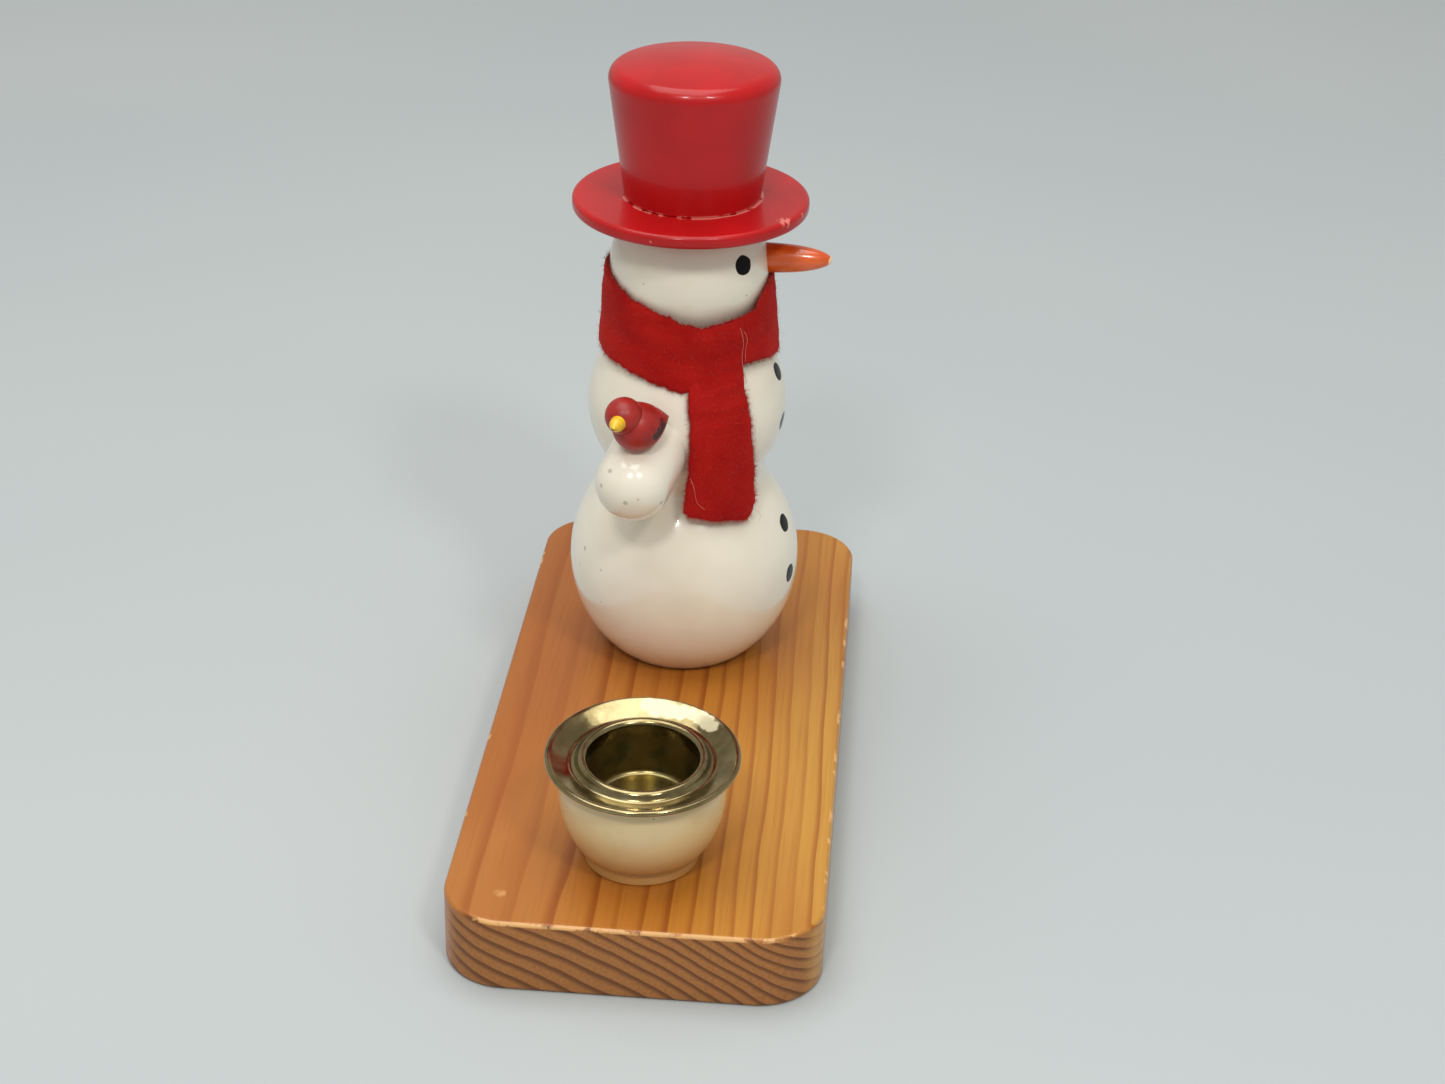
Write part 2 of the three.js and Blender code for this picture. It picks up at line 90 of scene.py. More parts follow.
# (radius, half height, height of the centre)
LOWER_BALL = (26.06, 27.9, BODY_LOW[2] + 22.56)
MIDDLE_BALL = (22.05, 22.28, BODY_LOW[2] + 61.43)
HEAD_BALL = (17.35, 18.25, BODY_LOW[2] + 93.4)
WAIST_RADIUS, WAIST_HEIGHT = 16.17, BODY_LOW[2] + 45.34
LOWER_BALL_END, MIDDLE_BALL_START = 40, -31      # where the waist's fillet takes over, in degrees

BRIM_RADIUS, BRIM_EDGE = 25.45, 1.0
CROWN_FOOT, CROWN_TOP, CROWN_EDGE, CROWN_DOME = 14.7, 18.15, 3.0, 1.5

NOSE_SWING = -16                 # the head is turned a little against the body
NOSE_RADIUS, NOSE_START, NOSE_REACH, NOSE_HEIGHT = 3.3, 13.5, 30.8, BODY_LOW[2] + 95.55
NOSE_FULLNESS = 2.65             # a higher power gives a blunter carrot
EYE_SWING, EYE_HEIGHT, EYE_RADIUS = 43, 114.5, 2.15
# (ball, swing from the front, height)
BUTTONS = [(MIDDLE_BALL, -7.5, 86.5), (MIDDLE_BALL, -5.5, 75.0), (LOWER_BALL, -1, 50.6),
           (LOWER_BALL, 3, 39.1)]
BUTTON_RADIUS = 2.1

ARM_RADIUS, ARM_LENGTH, HAND_DISTANCE, HAND_HEIGHT = 8.2, 17.0, 30.0, BODY_LOW[2] + 53.9
ARM_SWING, ARM_FALL = 92, 22

BIRD_SWING, BIRD_DISTANCE, BIRD_HEIGHT = 90.5, 30.3, BODY_LOW[2] + 67.5
BIRD_RADIUS, BIRD_TAIL, TAIL_SWING, TAIL_RISE = 5.3, 7.7, -47.8, 6.6
BIRD_HEAD_RADIUS, BIRD_HEAD_REACH, BIRD_HEAD_SWING, BIRD_HEAD_RISE = 4.1, 4.6, 125, 45
BEAK_RADIUS, BEAK_SHOULDER, BEAK_TIP, BEAK_LENGTH, BEAK_SUNK = 1.75, 1.62, 0.5, 4.0, 1
BEAK_SWING, BEAK_RISE = 88, 0.5

FELT = 1.25                      # thickness of the scarf

CUP_RADIUS, CUP_HALF_HEIGHT, CUP_WIDEST, CUP_LIP = 16.9, 19.5, 16, 0.8
CUP_FOOT_RADIUS, CUP_FOOT_EDGE, CUP_BOWL_START = 11.35, 0.4, 3.9
BORE_RADIUS, BORE_FLOOR, SEAT_RADIUS, SEAT_HEIGHT = 12.6, 9.6, 15.2, 18.9

INSERT_RIM = 40.5                # height of the rim's centre
INSERT_LEAN = 3.5                # degrees, towards the free end of the board
RIM_RADIUS, RIM_EDGE, SHEET = 19.7, 0.6, 0.7
WELL_MOUTH, WELL_DEPTH, WELL_FOOT, WELL_CORNER = 11.2, 12.6, 9.2, 1.2
BEAD_RADIUS, BEAD_DROP = 1.05, 1.45

# The plank's rings: the tree's centre lies far outside it (y, z); rings get closer outwards.
PITH = (110.0, -205.0)
RING_START, RING_RATE, RING_GAIN = 232.0, 0.345, 0.00228

# The camera and the lights: places and sizes in metres, the camera's turns in radians.
CAMERA_PLACE = (-0.4906, -0.0443, 0.3214)
CAMERA_YAW, CAMERA_PITCH, CAMERA_ROLL = 0.0683, 0.4928, -0.0266
FOCAL_LENGTH = 64.28
AIM = (0.02, 0.0, 0.07)          # what the lights point at
LAMP_AZIMUTHS, LAMP_RISE, LAMP_DISTANCE, LAMP_SIZE, LAMP_POWER = (261, 300), 46.5, 1.2, 0.17, 3.2
SOFTBOX_PLACE, SOFTBOX_SIZE, SOFTBOX_POWER = (0.05, 0.1, 1.3), 1.1, 12.0
SKY_COLOUR, SKY_STRENGTH = (1.0, 0.985, 0.95, 1.0), 0.44


def direction(azimuth, rise=0.0):
    around, up = math.radians(azimuth), math.radians(rise)
    return np.array([
        -math.sin(around) * math.cos(up),
        -math.cos(around) * math.cos(up),
        math.sin(up),
    ])


def on_snowman(azimuth, distance, height):
    place = SNOWMAN + direction(azimuth) * distance
    place[2] = height
    return place


# ---------- mesh helpers ----------


def place_in_scene(name, data):
    made = bpy.data.objects.new(name, data)
    bpy.context.scene.collection.objects.link(made)
    return made


def add_object(name, vertices_mm, faces, finish, body="holder", sharp=35):
    mesh = bpy.data.meshes.new(name)
    mesh.from_pydata((np.asarray(vertices_mm) * MM).tolist(), [], faces)
    mesh.validate()
    mesh.polygons.foreach_set("use_smooth", [True] * len(mesh.polygons))
    mesh.set_sharp_from_angle(angle=math.radians(sharp))
    mesh.materials.append(finish)
    piece = place_in_scene(name, mesh)
    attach(piece, body)
    return piece


def arc(radius, half_height, height, start, end, steps):
    """(radius, height) points of an upright ellipse, by angle above its equator."""
    angles = np.radians(np.linspace(start, end, steps + 1))
    return [(radius * math.cos(a), height + half_height * math.sin(a)) for a in angles]


def rounded(centre_radius, height, radius, start, end, steps=8):
    """(radius, height) points of a small circular arc in the profile's own plane."""
    angles = np.radians(np.linspace(start, end, steps + 1))
    return [(centre_radius + radius * math.cos(a), height + radius * math.sin(a)) for a in angles]


def angle_at(ball, height):
    return math.degrees(math.asin((height - ball[2]) / ball[1]))


def between(first, last, steps):
    return [tuple(point) for point in np.linspace(first, last, steps + 2)[1:-1]]


def revolve(profile, sides):
    """Vertices and faces of a profile that starts and ends on the axis, about +Z."""
    rings = profile[1:-1]
    turns = np.linspace(0, 2 * math.pi, sides, endpoint=False)
    vertices = [(0, 0, profile[0][1])]
    for radius, height in rings:
        vertices += [(radius * math.cos(t), radius * math.sin(t), height) for t in turns]
    vertices.append((0, 0, profile[-1][1]))
    faces = []
    last = len(vertices) - 1
    for side in range(sides):
        after = (side + 1) % sides
        faces.append((0, 1 + after, 1 + side))
        for ring in range(len(rings) - 1):
            low, high = 1 + ring * sides, 1 + (ring + 1) * sides
            faces.append((low + side, low + after, high + after, high + side))
        top = 1 + (len(rings) - 1) * sides
        faces.append((top + side, top + after, last))
    return np.array(vertices), faces


def turned(name, node, profile, finish, start, axis=UP, sides=SIDES):
    """A turned piece that stands for a CAD node, or for none when it is only a cutter."""
    vertices, faces = revolve(profile, sides)
    turn = np.array(UP.rotation_difference(Vector(axis)).to_matrix())
    piece = add_object(name, vertices @ turn.T + np.asarray(start), faces, finish)
    if node:
        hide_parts(node)
    return piece


def evaluated_mesh(piece):
    """A new mesh of a piece as its modifiers or curve settings shape it."""
    graph = bpy.context.evaluated_depsgraph_get()
    return bpy.data.meshes.new_from_object(piece.evaluated_get(graph))


# ---------- material helpers ----------


def linear(red, green, blue):
    """A colour from 0-255 display values."""
    channels = [value / 255 for value in (red, green, blue)]
    return tuple(((c + 0.055) / 1.055) ** 2.4 if c > 0.04045 else c / 12.92 for c in channels) + (1.0,)


class Finish:
    """A node material with short calls for the nodes used here."""

    def __init__(self, name, **surface):
        self.material = bpy.data.materials.new(name)
        self.material.use_nodes = True
        self.tree = self.material.node_tree
        self.surface = self.tree.nodes["Principled BSDF"]
        self.place = self.node("ShaderNodeTexCoord").outputs["Object"]
        self.set(self.surface, surface)

    def set(self, node, inputs):
        for key, value in inputs.items():
            socket = node.inputs[key.replace("_", " ") if isinstance(key, str) else key]
            if isinstance(value, bpy.types.NodeSocket):
                self.tree.links.new(value, socket)
            else:
                socket.default_value = value

    def node(self, kind, inputs=None, **settings):
        made = self.tree.nodes.new(kind)
        for key, value in settings.items():
            setattr(made, key, value)
        self.set(made, inputs or {})
        return made

    def maths(self, operation, first, second=0.0):
        return self.node("ShaderNodeMath", {0: first, 1: second}, operation=operation).outputs[0]

    def times(self, first, second):
        return self.maths("MULTIPLY", first, second)

    def plus(self, first, second):
        return self.maths("ADD", first, second)

    def minus(self, first, second):
        return self.maths("SUBTRACT", first, second)

    def vector(self, operation, first, second=(0, 0, 0), output=0):
        return self.node("ShaderNodeVectorMath", {0: first, 1: second}, operation=operation).outputs[output]

    def stretched(self, scale):
        return self.vector("MULTIPLY", self.place, scale)

    def parts(self, vector):
        return self.node("ShaderNodeSeparateXYZ", {0: vector}).outputs

    def noise(self, scale, detail=3.0, rough=0.5, vector=None, distortion=0.0):
        return self.node("ShaderNodeTexNoise", {
            "Vector": vector or self.place, "Scale": scale, "Detail": detail,
            "Roughness": rough, "Distortion": distortion,
        }).outputs["Fac"]

    def step(self, value, low, high, to_low=0.0, to_high=1.0):
        """A smooth rise from to_low to to_high as value goes from low to high."""
        return self.node("ShaderNodeMapRange", {
            "Value": value, "From Min": low, "From Max": high, "To Min": to_low, "To Max": to_high,
        }, interpolation_type="SMOOTHSTEP").outputs[0]

    def fall(self, value, low, high):
        return self.step(value, low, high, 1.0, 0.0)

    def mix(self, share, first, second):
        made = self.node("ShaderNodeMix", data_type="RGBA")
        self.set(made, {0: share, 6: first, 7: second})
        return made.outputs[2]

    def near(self, centre_mm, radius_mm, soft_mm=0.12, wobble=0.0):
        """1 inside a ball round a point, with a slightly uneven edge."""
        distance = self.vector("DISTANCE", self.place, tuple(np.asarray(centre_mm) * MM), "Value")
        if wobble:
            uneven = self.step(self.noise(420.0, 1.0), 0.3, 0.7, -wobble * MM, wobble * MM)
            distance = self.plus(distance, uneven)
        return self.fall(distance, (radius_mm - soft_mm) * MM, (radius_mm + soft_mm) * MM)

    def any_of(self, masks):
        """The strongest of some masks."""
        total = masks[0]
        for mask in masks[1:]:
            total = self.maths("MAXIMUM", total, mask)
        return total

    def bump(self, height, distance_mm, strength):
        normal = self.node("ShaderNodeBump", {
            "Height": height, "Distance": distance_mm * MM, "Strength": strength,
        }).outputs[0]
        self.tree.links.new(normal, self.surface.inputs["Normal"])

    def finished(self, base, height, distance_mm, strength):
        """Give the surface its colour and fine relief, and hand back the material."""
        self.set(self.surface, {"Base Color": base})
        self.bump(height, distance_mm, strength)
        return self.material

    def specks(self, cell_mm, share, size_mm):
        """Sparse dots: 1 inside a dot, in only some of the cells."""
        cells = self.node("ShaderNodeTexVoronoi", {
            "Vector": self.place, "Scale": 1 / (cell_mm * MM),
        })
        chance = self.parts(cells.outputs["Color"])[0]
        chosen = self.maths("LESS_THAN", chance, share)
        reach = size_mm / cell_mm
        inside = self.fall(cells.outputs["Distance"], reach * 0.6, reach)
        return self.times(chosen, inside)


# ---------- materials ----------


def on_ball(ball, azimuth, height):
    distance = ball[0] * math.sqrt(1 - ((height - ball[2]) / ball[1]) ** 2)
    return on_snowman(azimuth, distance, height)


def snowman_dots():
    """Centres and radii of the two eyes and the four buttons."""
    nose = FRONT + NOSE_SWING
    eyes = [(on_ball(HEAD_BALL, nose + swing, EYE_HEIGHT), EYE_RADIUS) for swing in (-EYE_SWING, EYE_SWING)]
    buttons = [(on_ball(ball, FRONT + swing, height), BUTTON_RADIUS) for ball, swing, height in BUTTONS]
    return eyes + buttons


def snowman_dents():
    """Centres and radii of small knocks: on the lower ball's side, the right hand and the head."""
    hand = hand_centre(1)
    return [
        (on_ball(LOWER_BALL, 147, 45.5), 0.45),
        (on_ball(LOWER_BALL, 131, 43.2), 0.3),
        (on_ball(LOWER_BALL, 150, 41.0), 0.3),
        (hand + (-4.9, 6.3, 1.4), 0.4),
        (hand + (-4.8, 4.5, 4.9), 0.35),
        (hand + (-8.1, 1.0, -1.0), 0.45),
        (hand + (-8.0, -1.8, 0.1), 0.4),
        (hand + (-4.4, -6.6, -2.1), 0.4),
        (on_ball(HEAD_BALL, 128, 119.5), 0.4),
    ]


def white_enamel():
    """Brushed white gloss with wear specks, knocks, and the flat black dots painted on it."""
    coat = 0.6
    paint = Finish("white_enamel", Roughness=0.2, Coat_Weight=coat, Coat_Roughness=0.05)
    tone = paint.step(paint.noise(60.0, 2.0), 0.35, 0.7)
    base = paint.mix(tone, linear(238, 231, 213), linear(232, 224, 204))
    marks = paint.specks(4.5, 0.12, 0.3)
    knocks = paint.any_of([paint.near(centre, radius, 0.22, 0.25) for centre, radius in snowman_dents()])
    marks = paint.maths("MAXIMUM", marks, knocks)
    base = paint.mix(paint.times(marks, 0.5), base, linear(128, 122, 108))
    dots = paint.any_of([paint.near(centre, radius, 0.1, 0.1) for centre, radius in snowman_dots()])
    base = paint.mix(dots, base, linear(20, 18, 18))
    gloss = paint.minus(1.0, dots)
    paint.set(paint.surface, {
        "Base Color": base,
        "Coat Weight": paint.times(gloss, coat),
        "Specular IOR Level": paint.step(gloss, 0.0, 1.0, 0.12, 0.5),
    })
    skin = paint.noise(240.0, 2.0)
    paint.bump(paint.minus(skin, paint.times(marks, 0.8)), 0.05, 0.4)
    return paint.material


def ivory_enamel():
    """Ivory paint, with painted shade and a painted warm reflection of the board towards the foot, and
    painted shade in the groove above it.
    """
    paint = Finish("ivory_enamel", Roughness=0.34, Coat_Weight=0.35, Coat_Roughness=0.12)
    height = paint.parts(paint.place)[2]
    foot = CUP_LOW[2]
    # painted shade and a painted warm reflection of the board: darker and warmer towards the foot
    painted_foot_shade = paint.fall(height, (foot + 1) * MM, (foot + 16) * MM)
    base = paint.mix(painted_foot_shade, linear(218, 195, 147), linear(192, 146, 86))
    cloud = paint.step(paint.noise(90.0, 3.0, 0.6), 0.45, 0.75, 0.0, 0.45)
    base = paint.mix(cloud, base, linear(198, 164, 110))
    # painted shade in the groove above the foot ring
    off_groove = paint.maths("ABSOLUTE", paint.minus(height, (foot + 3.5) * MM))
    groove = paint.step(off_groove, 0.25 * MM, 0.9 * MM, 0.6, 0.0)
    base = paint.mix(groove, base, linear(150, 100, 54))
    marks = paint.specks(4.0, 0.15, 0.35)
    base = paint.mix(paint.times(marks, 0.5), base, linear(150, 116, 78))
    return paint.finished(base, paint.noise(240.0, 3.0), 0.06, 0.5)


def red_enamel():
    """Gloss red, with pale flecks in the glue line round the crown, partly paint skips and partly painted
    highlight, chips round the brim's edge and a pale spot on the brim.
    """
    paint = Finish("red_enamel", Roughness=0.3, Coat_Weight=0.22, Coat_Roughness=0.05,
                   Specular_IOR_Level=0.25)
    across, height = paint.parts(paint.place)[1:3]
    flat = paint.vector("MULTIPLY", paint.place, (1, 1, 0))
    from_crown = paint.vector("DISTANCE", flat, (*CROWN_AXIS * MM, 0), "Value")
    from_axis = paint.vector("DISTANCE", flat, (SNOWMAN[0] * MM, SNOWMAN[1] * MM, 0), "Value")
    tone = paint.step(paint.noise(70.0, 2.0), 0.3, 0.7)
    base = paint.mix(tone, linear(184, 18, 22), linear(170, 16, 18))
    top = BRIM_HIGH[2]
    on_brim = paint.fall(height, (top + 0.3) * MM, (top + 0.55) * MM)
    at_foot = paint.fall(from_crown, (CROWN_FOOT + 0.45) * MM, (CROWN_FOOT + 0.65) * MM)
    # the pale flecks round the crown's foot are partly paint skips and partly painted highlight, and the
    # highlight part is stronger on the -Y side
    right = paint.step(across, (CROWN_AXIS[1] - 9) * MM, (CROWN_AXIS[1] + 6) * MM, 0.1, 0.0)
    flakes_and_glints = paint.step(paint.plus(paint.noise(520.0, 2.0), right), 0.5, 0.57)
    skips_and_glints = paint.times(paint.times(on_brim, at_foot), flakes_and_glints)
    at_rim = paint.step(from_axis, (BRIM_RADIUS - 0.5) * MM, (BRIM_RADIUS - 0.2) * MM)
    chips = paint.times(at_rim, paint.step(paint.noise(420.0, 2.0), 0.66, 0.7))
    # a pale spot on the brim's top, broken up by noise
    pale_brim_spot = paint.near(on_snowman(31.7, 24.4, top), 1.5, 0.6, 0.5)
    pale_brim_spot = paint.times(paint.step(paint.noise(900.0, 2.0), 0.4, 0.55), pale_brim_spot)
    # pale marks: paint skips and chips, the painted highlight in the flecks, and the pale spot
    wear_and_glints = paint.any_of([skips_and_glints, chips, pale_brim_spot])
    base = paint.mix(paint.times(wear_and_glints, 0.8), base, linear(226, 132, 122))
    return paint.finished(base, paint.noise(300.0, 2.0), 0.04, 0.45)


def orange_enamel():
    """Orange paint with brush streaks along the nose and bare wood at its very tip."""
    paint = Finish("orange_enamel", Roughness=0.24, Coat_Weight=0.5, Coat_Roughness=0.08)
    along = paint.stretched((1.0, 0.2, 1.0))
    tone = paint.step(paint.noise(500.0, 3.0, vector=along), 0.3, 0.7)
    base = paint.mix(tone, linear(226, 100, 34), linear(204, 78, 22))
    tip = on_snowman(FRONT + NOSE_SWING, NOSE_REACH + 0.1, NOSE_HEIGHT)
    base = paint.mix(paint.near(tip, 1.0, 0.15, 0.4), base, linear(238, 206, 164))
    return paint.finished(base, paint.noise(500.0, 2.0, vector=along), 0.06, 0.6)


def bird_paint(dark_spots, eyes, foot):
    """Thin satin red with dark brown patches, pinhead eyes and a pale ring at the foot."""
    paint = Finish("bird_paint", Roughness=0.42, Coat_Weight=0.12, Coat_Roughness=0.3,
                   Specular_IOR_Level=0.4)
    tone = paint.step(paint.noise(260.0, 3.0), 0.3, 0.7)
    base = paint.mix(tone, linear(164, 36, 28), linear(144, 27, 22))
    # a pale ring round the foot, broken up by noise
    pale_marks = paint.times(paint.near(foot, 3.3, 0.5, 0.5), paint.step(paint.noise(500.0, 2.0), 0.35, 0.6))
    base = paint.mix(paint.times(pale_marks, 0.6), base, linear(206, 128, 112))
    patch = paint.any_of([paint.near(centre, radius, 0.3, 0.8) for centre, radius in dark_spots])
    base = paint.mix(patch, base, linear(58, 30, 30))
    pupil = paint.any_of([paint.near(centre, 0.36, 0.1) for centre in eyes])
    base = paint.mix(pupil, base, linear(58, 26, 28))
    return paint.finished(base, paint.noise(600.0, 2.0), 0.05, 0.5)


def beak_paint(chip):
    paint = Finish("beak_paint", Roughness=0.4, Coat_Weight=0.2)
    tone = paint.step(paint.noise(700.0, 2.0), 0.35, 0.65)
    base = paint.mix(tone, linear(240, 196, 30), linear(222, 172, 22))
    base = paint.mix(paint.near(chip, 0.45, 0.15, 0.25), base, linear(120, 70, 40))
    return paint.finished(base, paint.noise(900.0, 2.0), 0.04, 0.5)


def pine_rings(wood):
    """How far through its ring a place is, from 0 to 1, and that ring's own random number."""
    drift = wood.noise(11.0, 2.0, vector=wood.stretched((0.35, 1.0, 1.0)))
    ripple = wood.noise(60.0, 3.0, vector=wood.stretched((0.16, 1.0, 1.0)))
    wander = wood.plus(wood.step(drift, 0.2, 0.8, -1.5, 1.5), wood.step(ripple, 0.2, 0.8, -0.5, 0.5))
    y, z = wood.parts(wood.place)[1:3]
    across = wood.minus(wood.maths("DIVIDE", y, MM), PITH[0])
    upward = wood.minus(wood.maths("DIVIDE", z, MM), PITH[1])
    squares = [wood.times(part, part) for part in (across, upward)]
    reach = wood.maths("SQRT", wood.plus(*squares))
    out = wood.minus(wood.plus(reach, wander), RING_START)
    closing = wood.times(wood.times(out, out), RING_GAIN)
    count = wood.plus(wood.times(out, RING_RATE), closing)
    ring = wood.maths("FRACT", wood.plus(count, 20.0))
    year = wood.node("ShaderNodeTexWhiteNoise", {"W": wood.maths("FLOOR", count)},
                     noise_dimensions="1D").outputs["Value"]
    return ring, year


def pine_face(wood, ring, year, late, streaks):
    """Colour along the grain: amber early wood, browner late wood, clouds and fine streaks."""
    y = wood.parts(wood.place)[1]
    strength = wood.times(wood.step(year, 0.0, 1.0, 0.4, 1.0), wood.step(y, -5 * MM, 25 * MM, 1.0, 0.8))
    to_left = wood.step(y, -20 * MM, 32 * MM)
    to_right = wood.fall(y, -36 * MM, 0.0)
    early = wood.mix(to_left, linear(179, 110, 32), linear(176, 112, 50))
    early = wood.mix(to_right, early, linear(192, 140, 58))
    dark = wood.mix(to_right, linear(138, 68, 18), linear(154, 92, 28))
    body = wood.mix(wood.step(ring, 0.1, 0.6, 0.0, 0.14), early, linear(164, 94, 28))
    face = wood.mix(wood.times(wood.times(late, strength), 0.9), body, dark)
    cloud = wood.noise(26.0, 3.0, vector=wood.stretched((0.3, 1.0, 1.0)))
    face = wood.mix(wood.step(cloud, 0.44, 0.68, 0.0, 0.5), face, linear(154, 80, 24))
    return wood.mix(wood.step(streaks, 0.45, 0.75, 0.0, 0.22), face, linear(134, 76, 34))


def pine_end(wood, ring):
    """Colour across the grain: dark slanting lines and open pores."""
    pores = wood.noise(1500.0, 2.0, 0.7)
    line = wood.times(wood.step(ring, 0.42, 0.85), wood.fall(ring, 0.94, 1.0))
    grain = wood.mix(wood.times(line, 0.8), linear(168, 110, 56), linear(84, 42, 16))
    return wood.mix(wood.step(pores, 0.4, 0.7, 0.0, 0.4), grain, linear(122, 74, 34))


def pine_wear_and_glint(wood):
    """Pale places along the top edge, partly rubbed varnish and partly painted highlight, most on the front,
    and one small dent.
    """
    x, y, z = wood.parts(wood.place)
    top = BOARD_HIGH[2]
    on_edge = wood.times(wood.step(z, (top - 0.9) * MM, (top - 0.6) * MM),
                         wood.fall(z, (top - 0.12) * MM, (top - 0.03) * MM))
    # more on the front and right edges, where the pale line is painted highlight along the rounded edge as
    # well as wear
    front = wood.step(x, (BOARD_LOW[0] + 4) * MM, (BOARD_LOW[0] + 1) * MM, 0.0, 0.2)
    right = wood.step(y, (BOARD_LOW[1] + 4) * MM, (BOARD_LOW[1] + 1) * MM, 0.0, 0.06)
    wear_and_glint = wood.plus(wood.noise(230.0, 3.0, 0.6), wood.maths("MAXIMUM", front, right))
    pale_marks = wood.times(on_edge, wood.step(wear_and_glint, 0.6, 0.68))
    dent = wood.near((BOARD_LOW[0] + 9.5, 26.5, top), 0.9, 0.4, 0.5)
    return wood.maths("MAXIMUM", pale_marks, wood.times(dent, 0.6))


def pine():
    """Varnished pine, cut from rings about a far pith, so the end grain shows slanting stripes."""
    wood = Finish("pine", Coat_Weight=0.2, Coat_Roughness=0.2, Specular_IOR_Level=0.3)
    ring, year = pine_rings(wood)
    late = wood.times(wood.step(ring, 0.58, 0.92), wood.fall(ring, 0.95, 1.0))
    streaks = wood.noise(1100.0, 3.0, 0.6, wood.stretched((0.03, 1.0, 1.0)))
    facing = wood.parts(wood.node("ShaderNodeTexCoord").outputs["Normal"])
    at_end = wood.step(wood.maths("ABSOLUTE", facing[0]), 0.45, 0.75)
    base = wood.mix(at_end, pine_face(wood, ring, year, late, streaks), pine_end(wood, ring))
    # pale places on the top edge: worn varnish and painted highlight
    base = wood.mix(wood.times(pine_wear_and_glint(wood), 0.75), base, linear(226, 176, 112))
    gloss = wood.plus(wood.step(streaks, 0.3, 0.7, 0.3, 0.42), wood.times(at_end, 0.22))
    wood.set(wood.surface, {"Base Color": base, "Roughness": gloss})
    relief = wood.plus(wood.times(late, 0.15), wood.times(streaks, 0.5))
    wood.bump(relief, 0.05, 0.6)
    return wood.material


def beech():
    wood = Finish("beech", Roughness=0.6)
    fibre = wood.noise(1200.0, 3.0, vector=wood.stretched((1.0, 1.0, 0.1)))
    base = wood.mix(wood.step(fibre, 0.3, 0.7), linear(222, 190, 148), linear(198, 160, 114))
    return wood.finished(base, fibre, 0.05, 0.5)


def brass():
    """Thin brass plate: dull olive pan with a pale patch at its back-right, and painted shade down the well.
    """
    metal = Finish("brass")
    tarnish = metal.noise(95.0, 4.0, 0.62)
    base = metal.mix(metal.step(tarnish, 0.4, 0.66), linear(162, 148, 108), linear(128, 114, 78))
    spots = metal.specks(3.0, 0.2, 0.4)
    base = metal.mix(metal.times(spots, 0.5), base, linear(86, 80, 54))
    # The pale patch at the pan's back-right: angle, distance from the axis and radius of the blobs it is made
    # of.
    pale_patch_blobs = ((-3, 17.8, 1.6), (4, 17.2, 2.2), (13, 16.9, 2.1), (22, 17.1, 1.7), (29, 17.5, 1.5),
            (36, 17.6, 1.6), (43, 17.6, 1.7), (48, 17.6, 1.5))
    blobs = [metal.near(on_pan(angle, reach), radius, 0.3, 0.3) for angle, reach, radius in pale_patch_blobs]
    patch = metal.any_of(blobs)
    base = metal.mix(patch, base, linear(206, 196, 160))
    height = metal.parts(metal.place)[2]
    flat = metal.vector("MULTIPLY", metal.place, (1, 1, 0))
    from_axis = metal.vector("DISTANCE", flat, (*CUP_AXIS * MM, 0), "Value")
    # painted shade down the inside of the well: full on its wall and lighter on its floor, with its colour
    # tinted in patches by verdigris noise
    inside = metal.times(metal.fall(from_axis, WELL_MOUTH * MM, 11.9 * MM),
                         metal.fall(height, (INSERT_RIM - 4.0) * MM, (INSERT_RIM - 1.6) * MM))
    floor = metal.step(height, (INSERT_RIM - 12.2) * MM, (INSERT_RIM - 11.0) * MM, 0.35, 1.0)
    painted_well_shade = metal.times(inside, floor)
    verdigris = metal.step(metal.noise(150.0, 3.0, 0.6), 0.52, 0.74)
    well_shade_colour = metal.mix(verdigris, linear(128, 112, 66), linear(74, 92, 58))
    base = metal.mix(metal.times(painted_well_shade, 0.88), base, well_shade_colour)
    polish = metal.step(metal.noise(260.0, 3.0, 0.6), 0.3, 0.75, 0.1, 0.26)
    metal.set(metal.surface, {
        "Base Color": base,
        "Metallic": metal.step(patch, 0.0, 1.0, 1.0, 0.25),
        "Roughness": metal.plus(polish, metal.times(painted_well_shade, 0.2)),
    })
    metal.bump(metal.noise(420.0, 3.0), 0.03, 0.5)
    return metal.material


def on_pan(angle, reach):
    """A place on the drip pan, by angle from +X round towards -Y."""
    turn = math.radians(angle)
    out, side = reach * math.cos(turn), -reach * math.sin(turn)
    height = INSERT_RIM - 0.9 + out * math.sin(math.radians(INSERT_LEAN))
    return (CUP_AXIS[0] + out, CUP_AXIS[1] + side, height)


def screw_steel():
    metal = Finish("screw_steel", Metallic=1.0)
    scratch = metal.noise(800.0, 3.0, vector=metal.stretched((1.0, 0.2, 1.0)))
    metal.set(metal.surface, {
        "Base Color": metal.mix(metal.step(scratch, 0.3, 0.7), linear(188, 186, 178), linear(150, 148, 142)),
        "Roughness": metal.step(scratch, 0.3, 0.7, 0.3, 0.5),
    })
    metal.bump(scratch, 0.03, 0.5)
    return metal.material


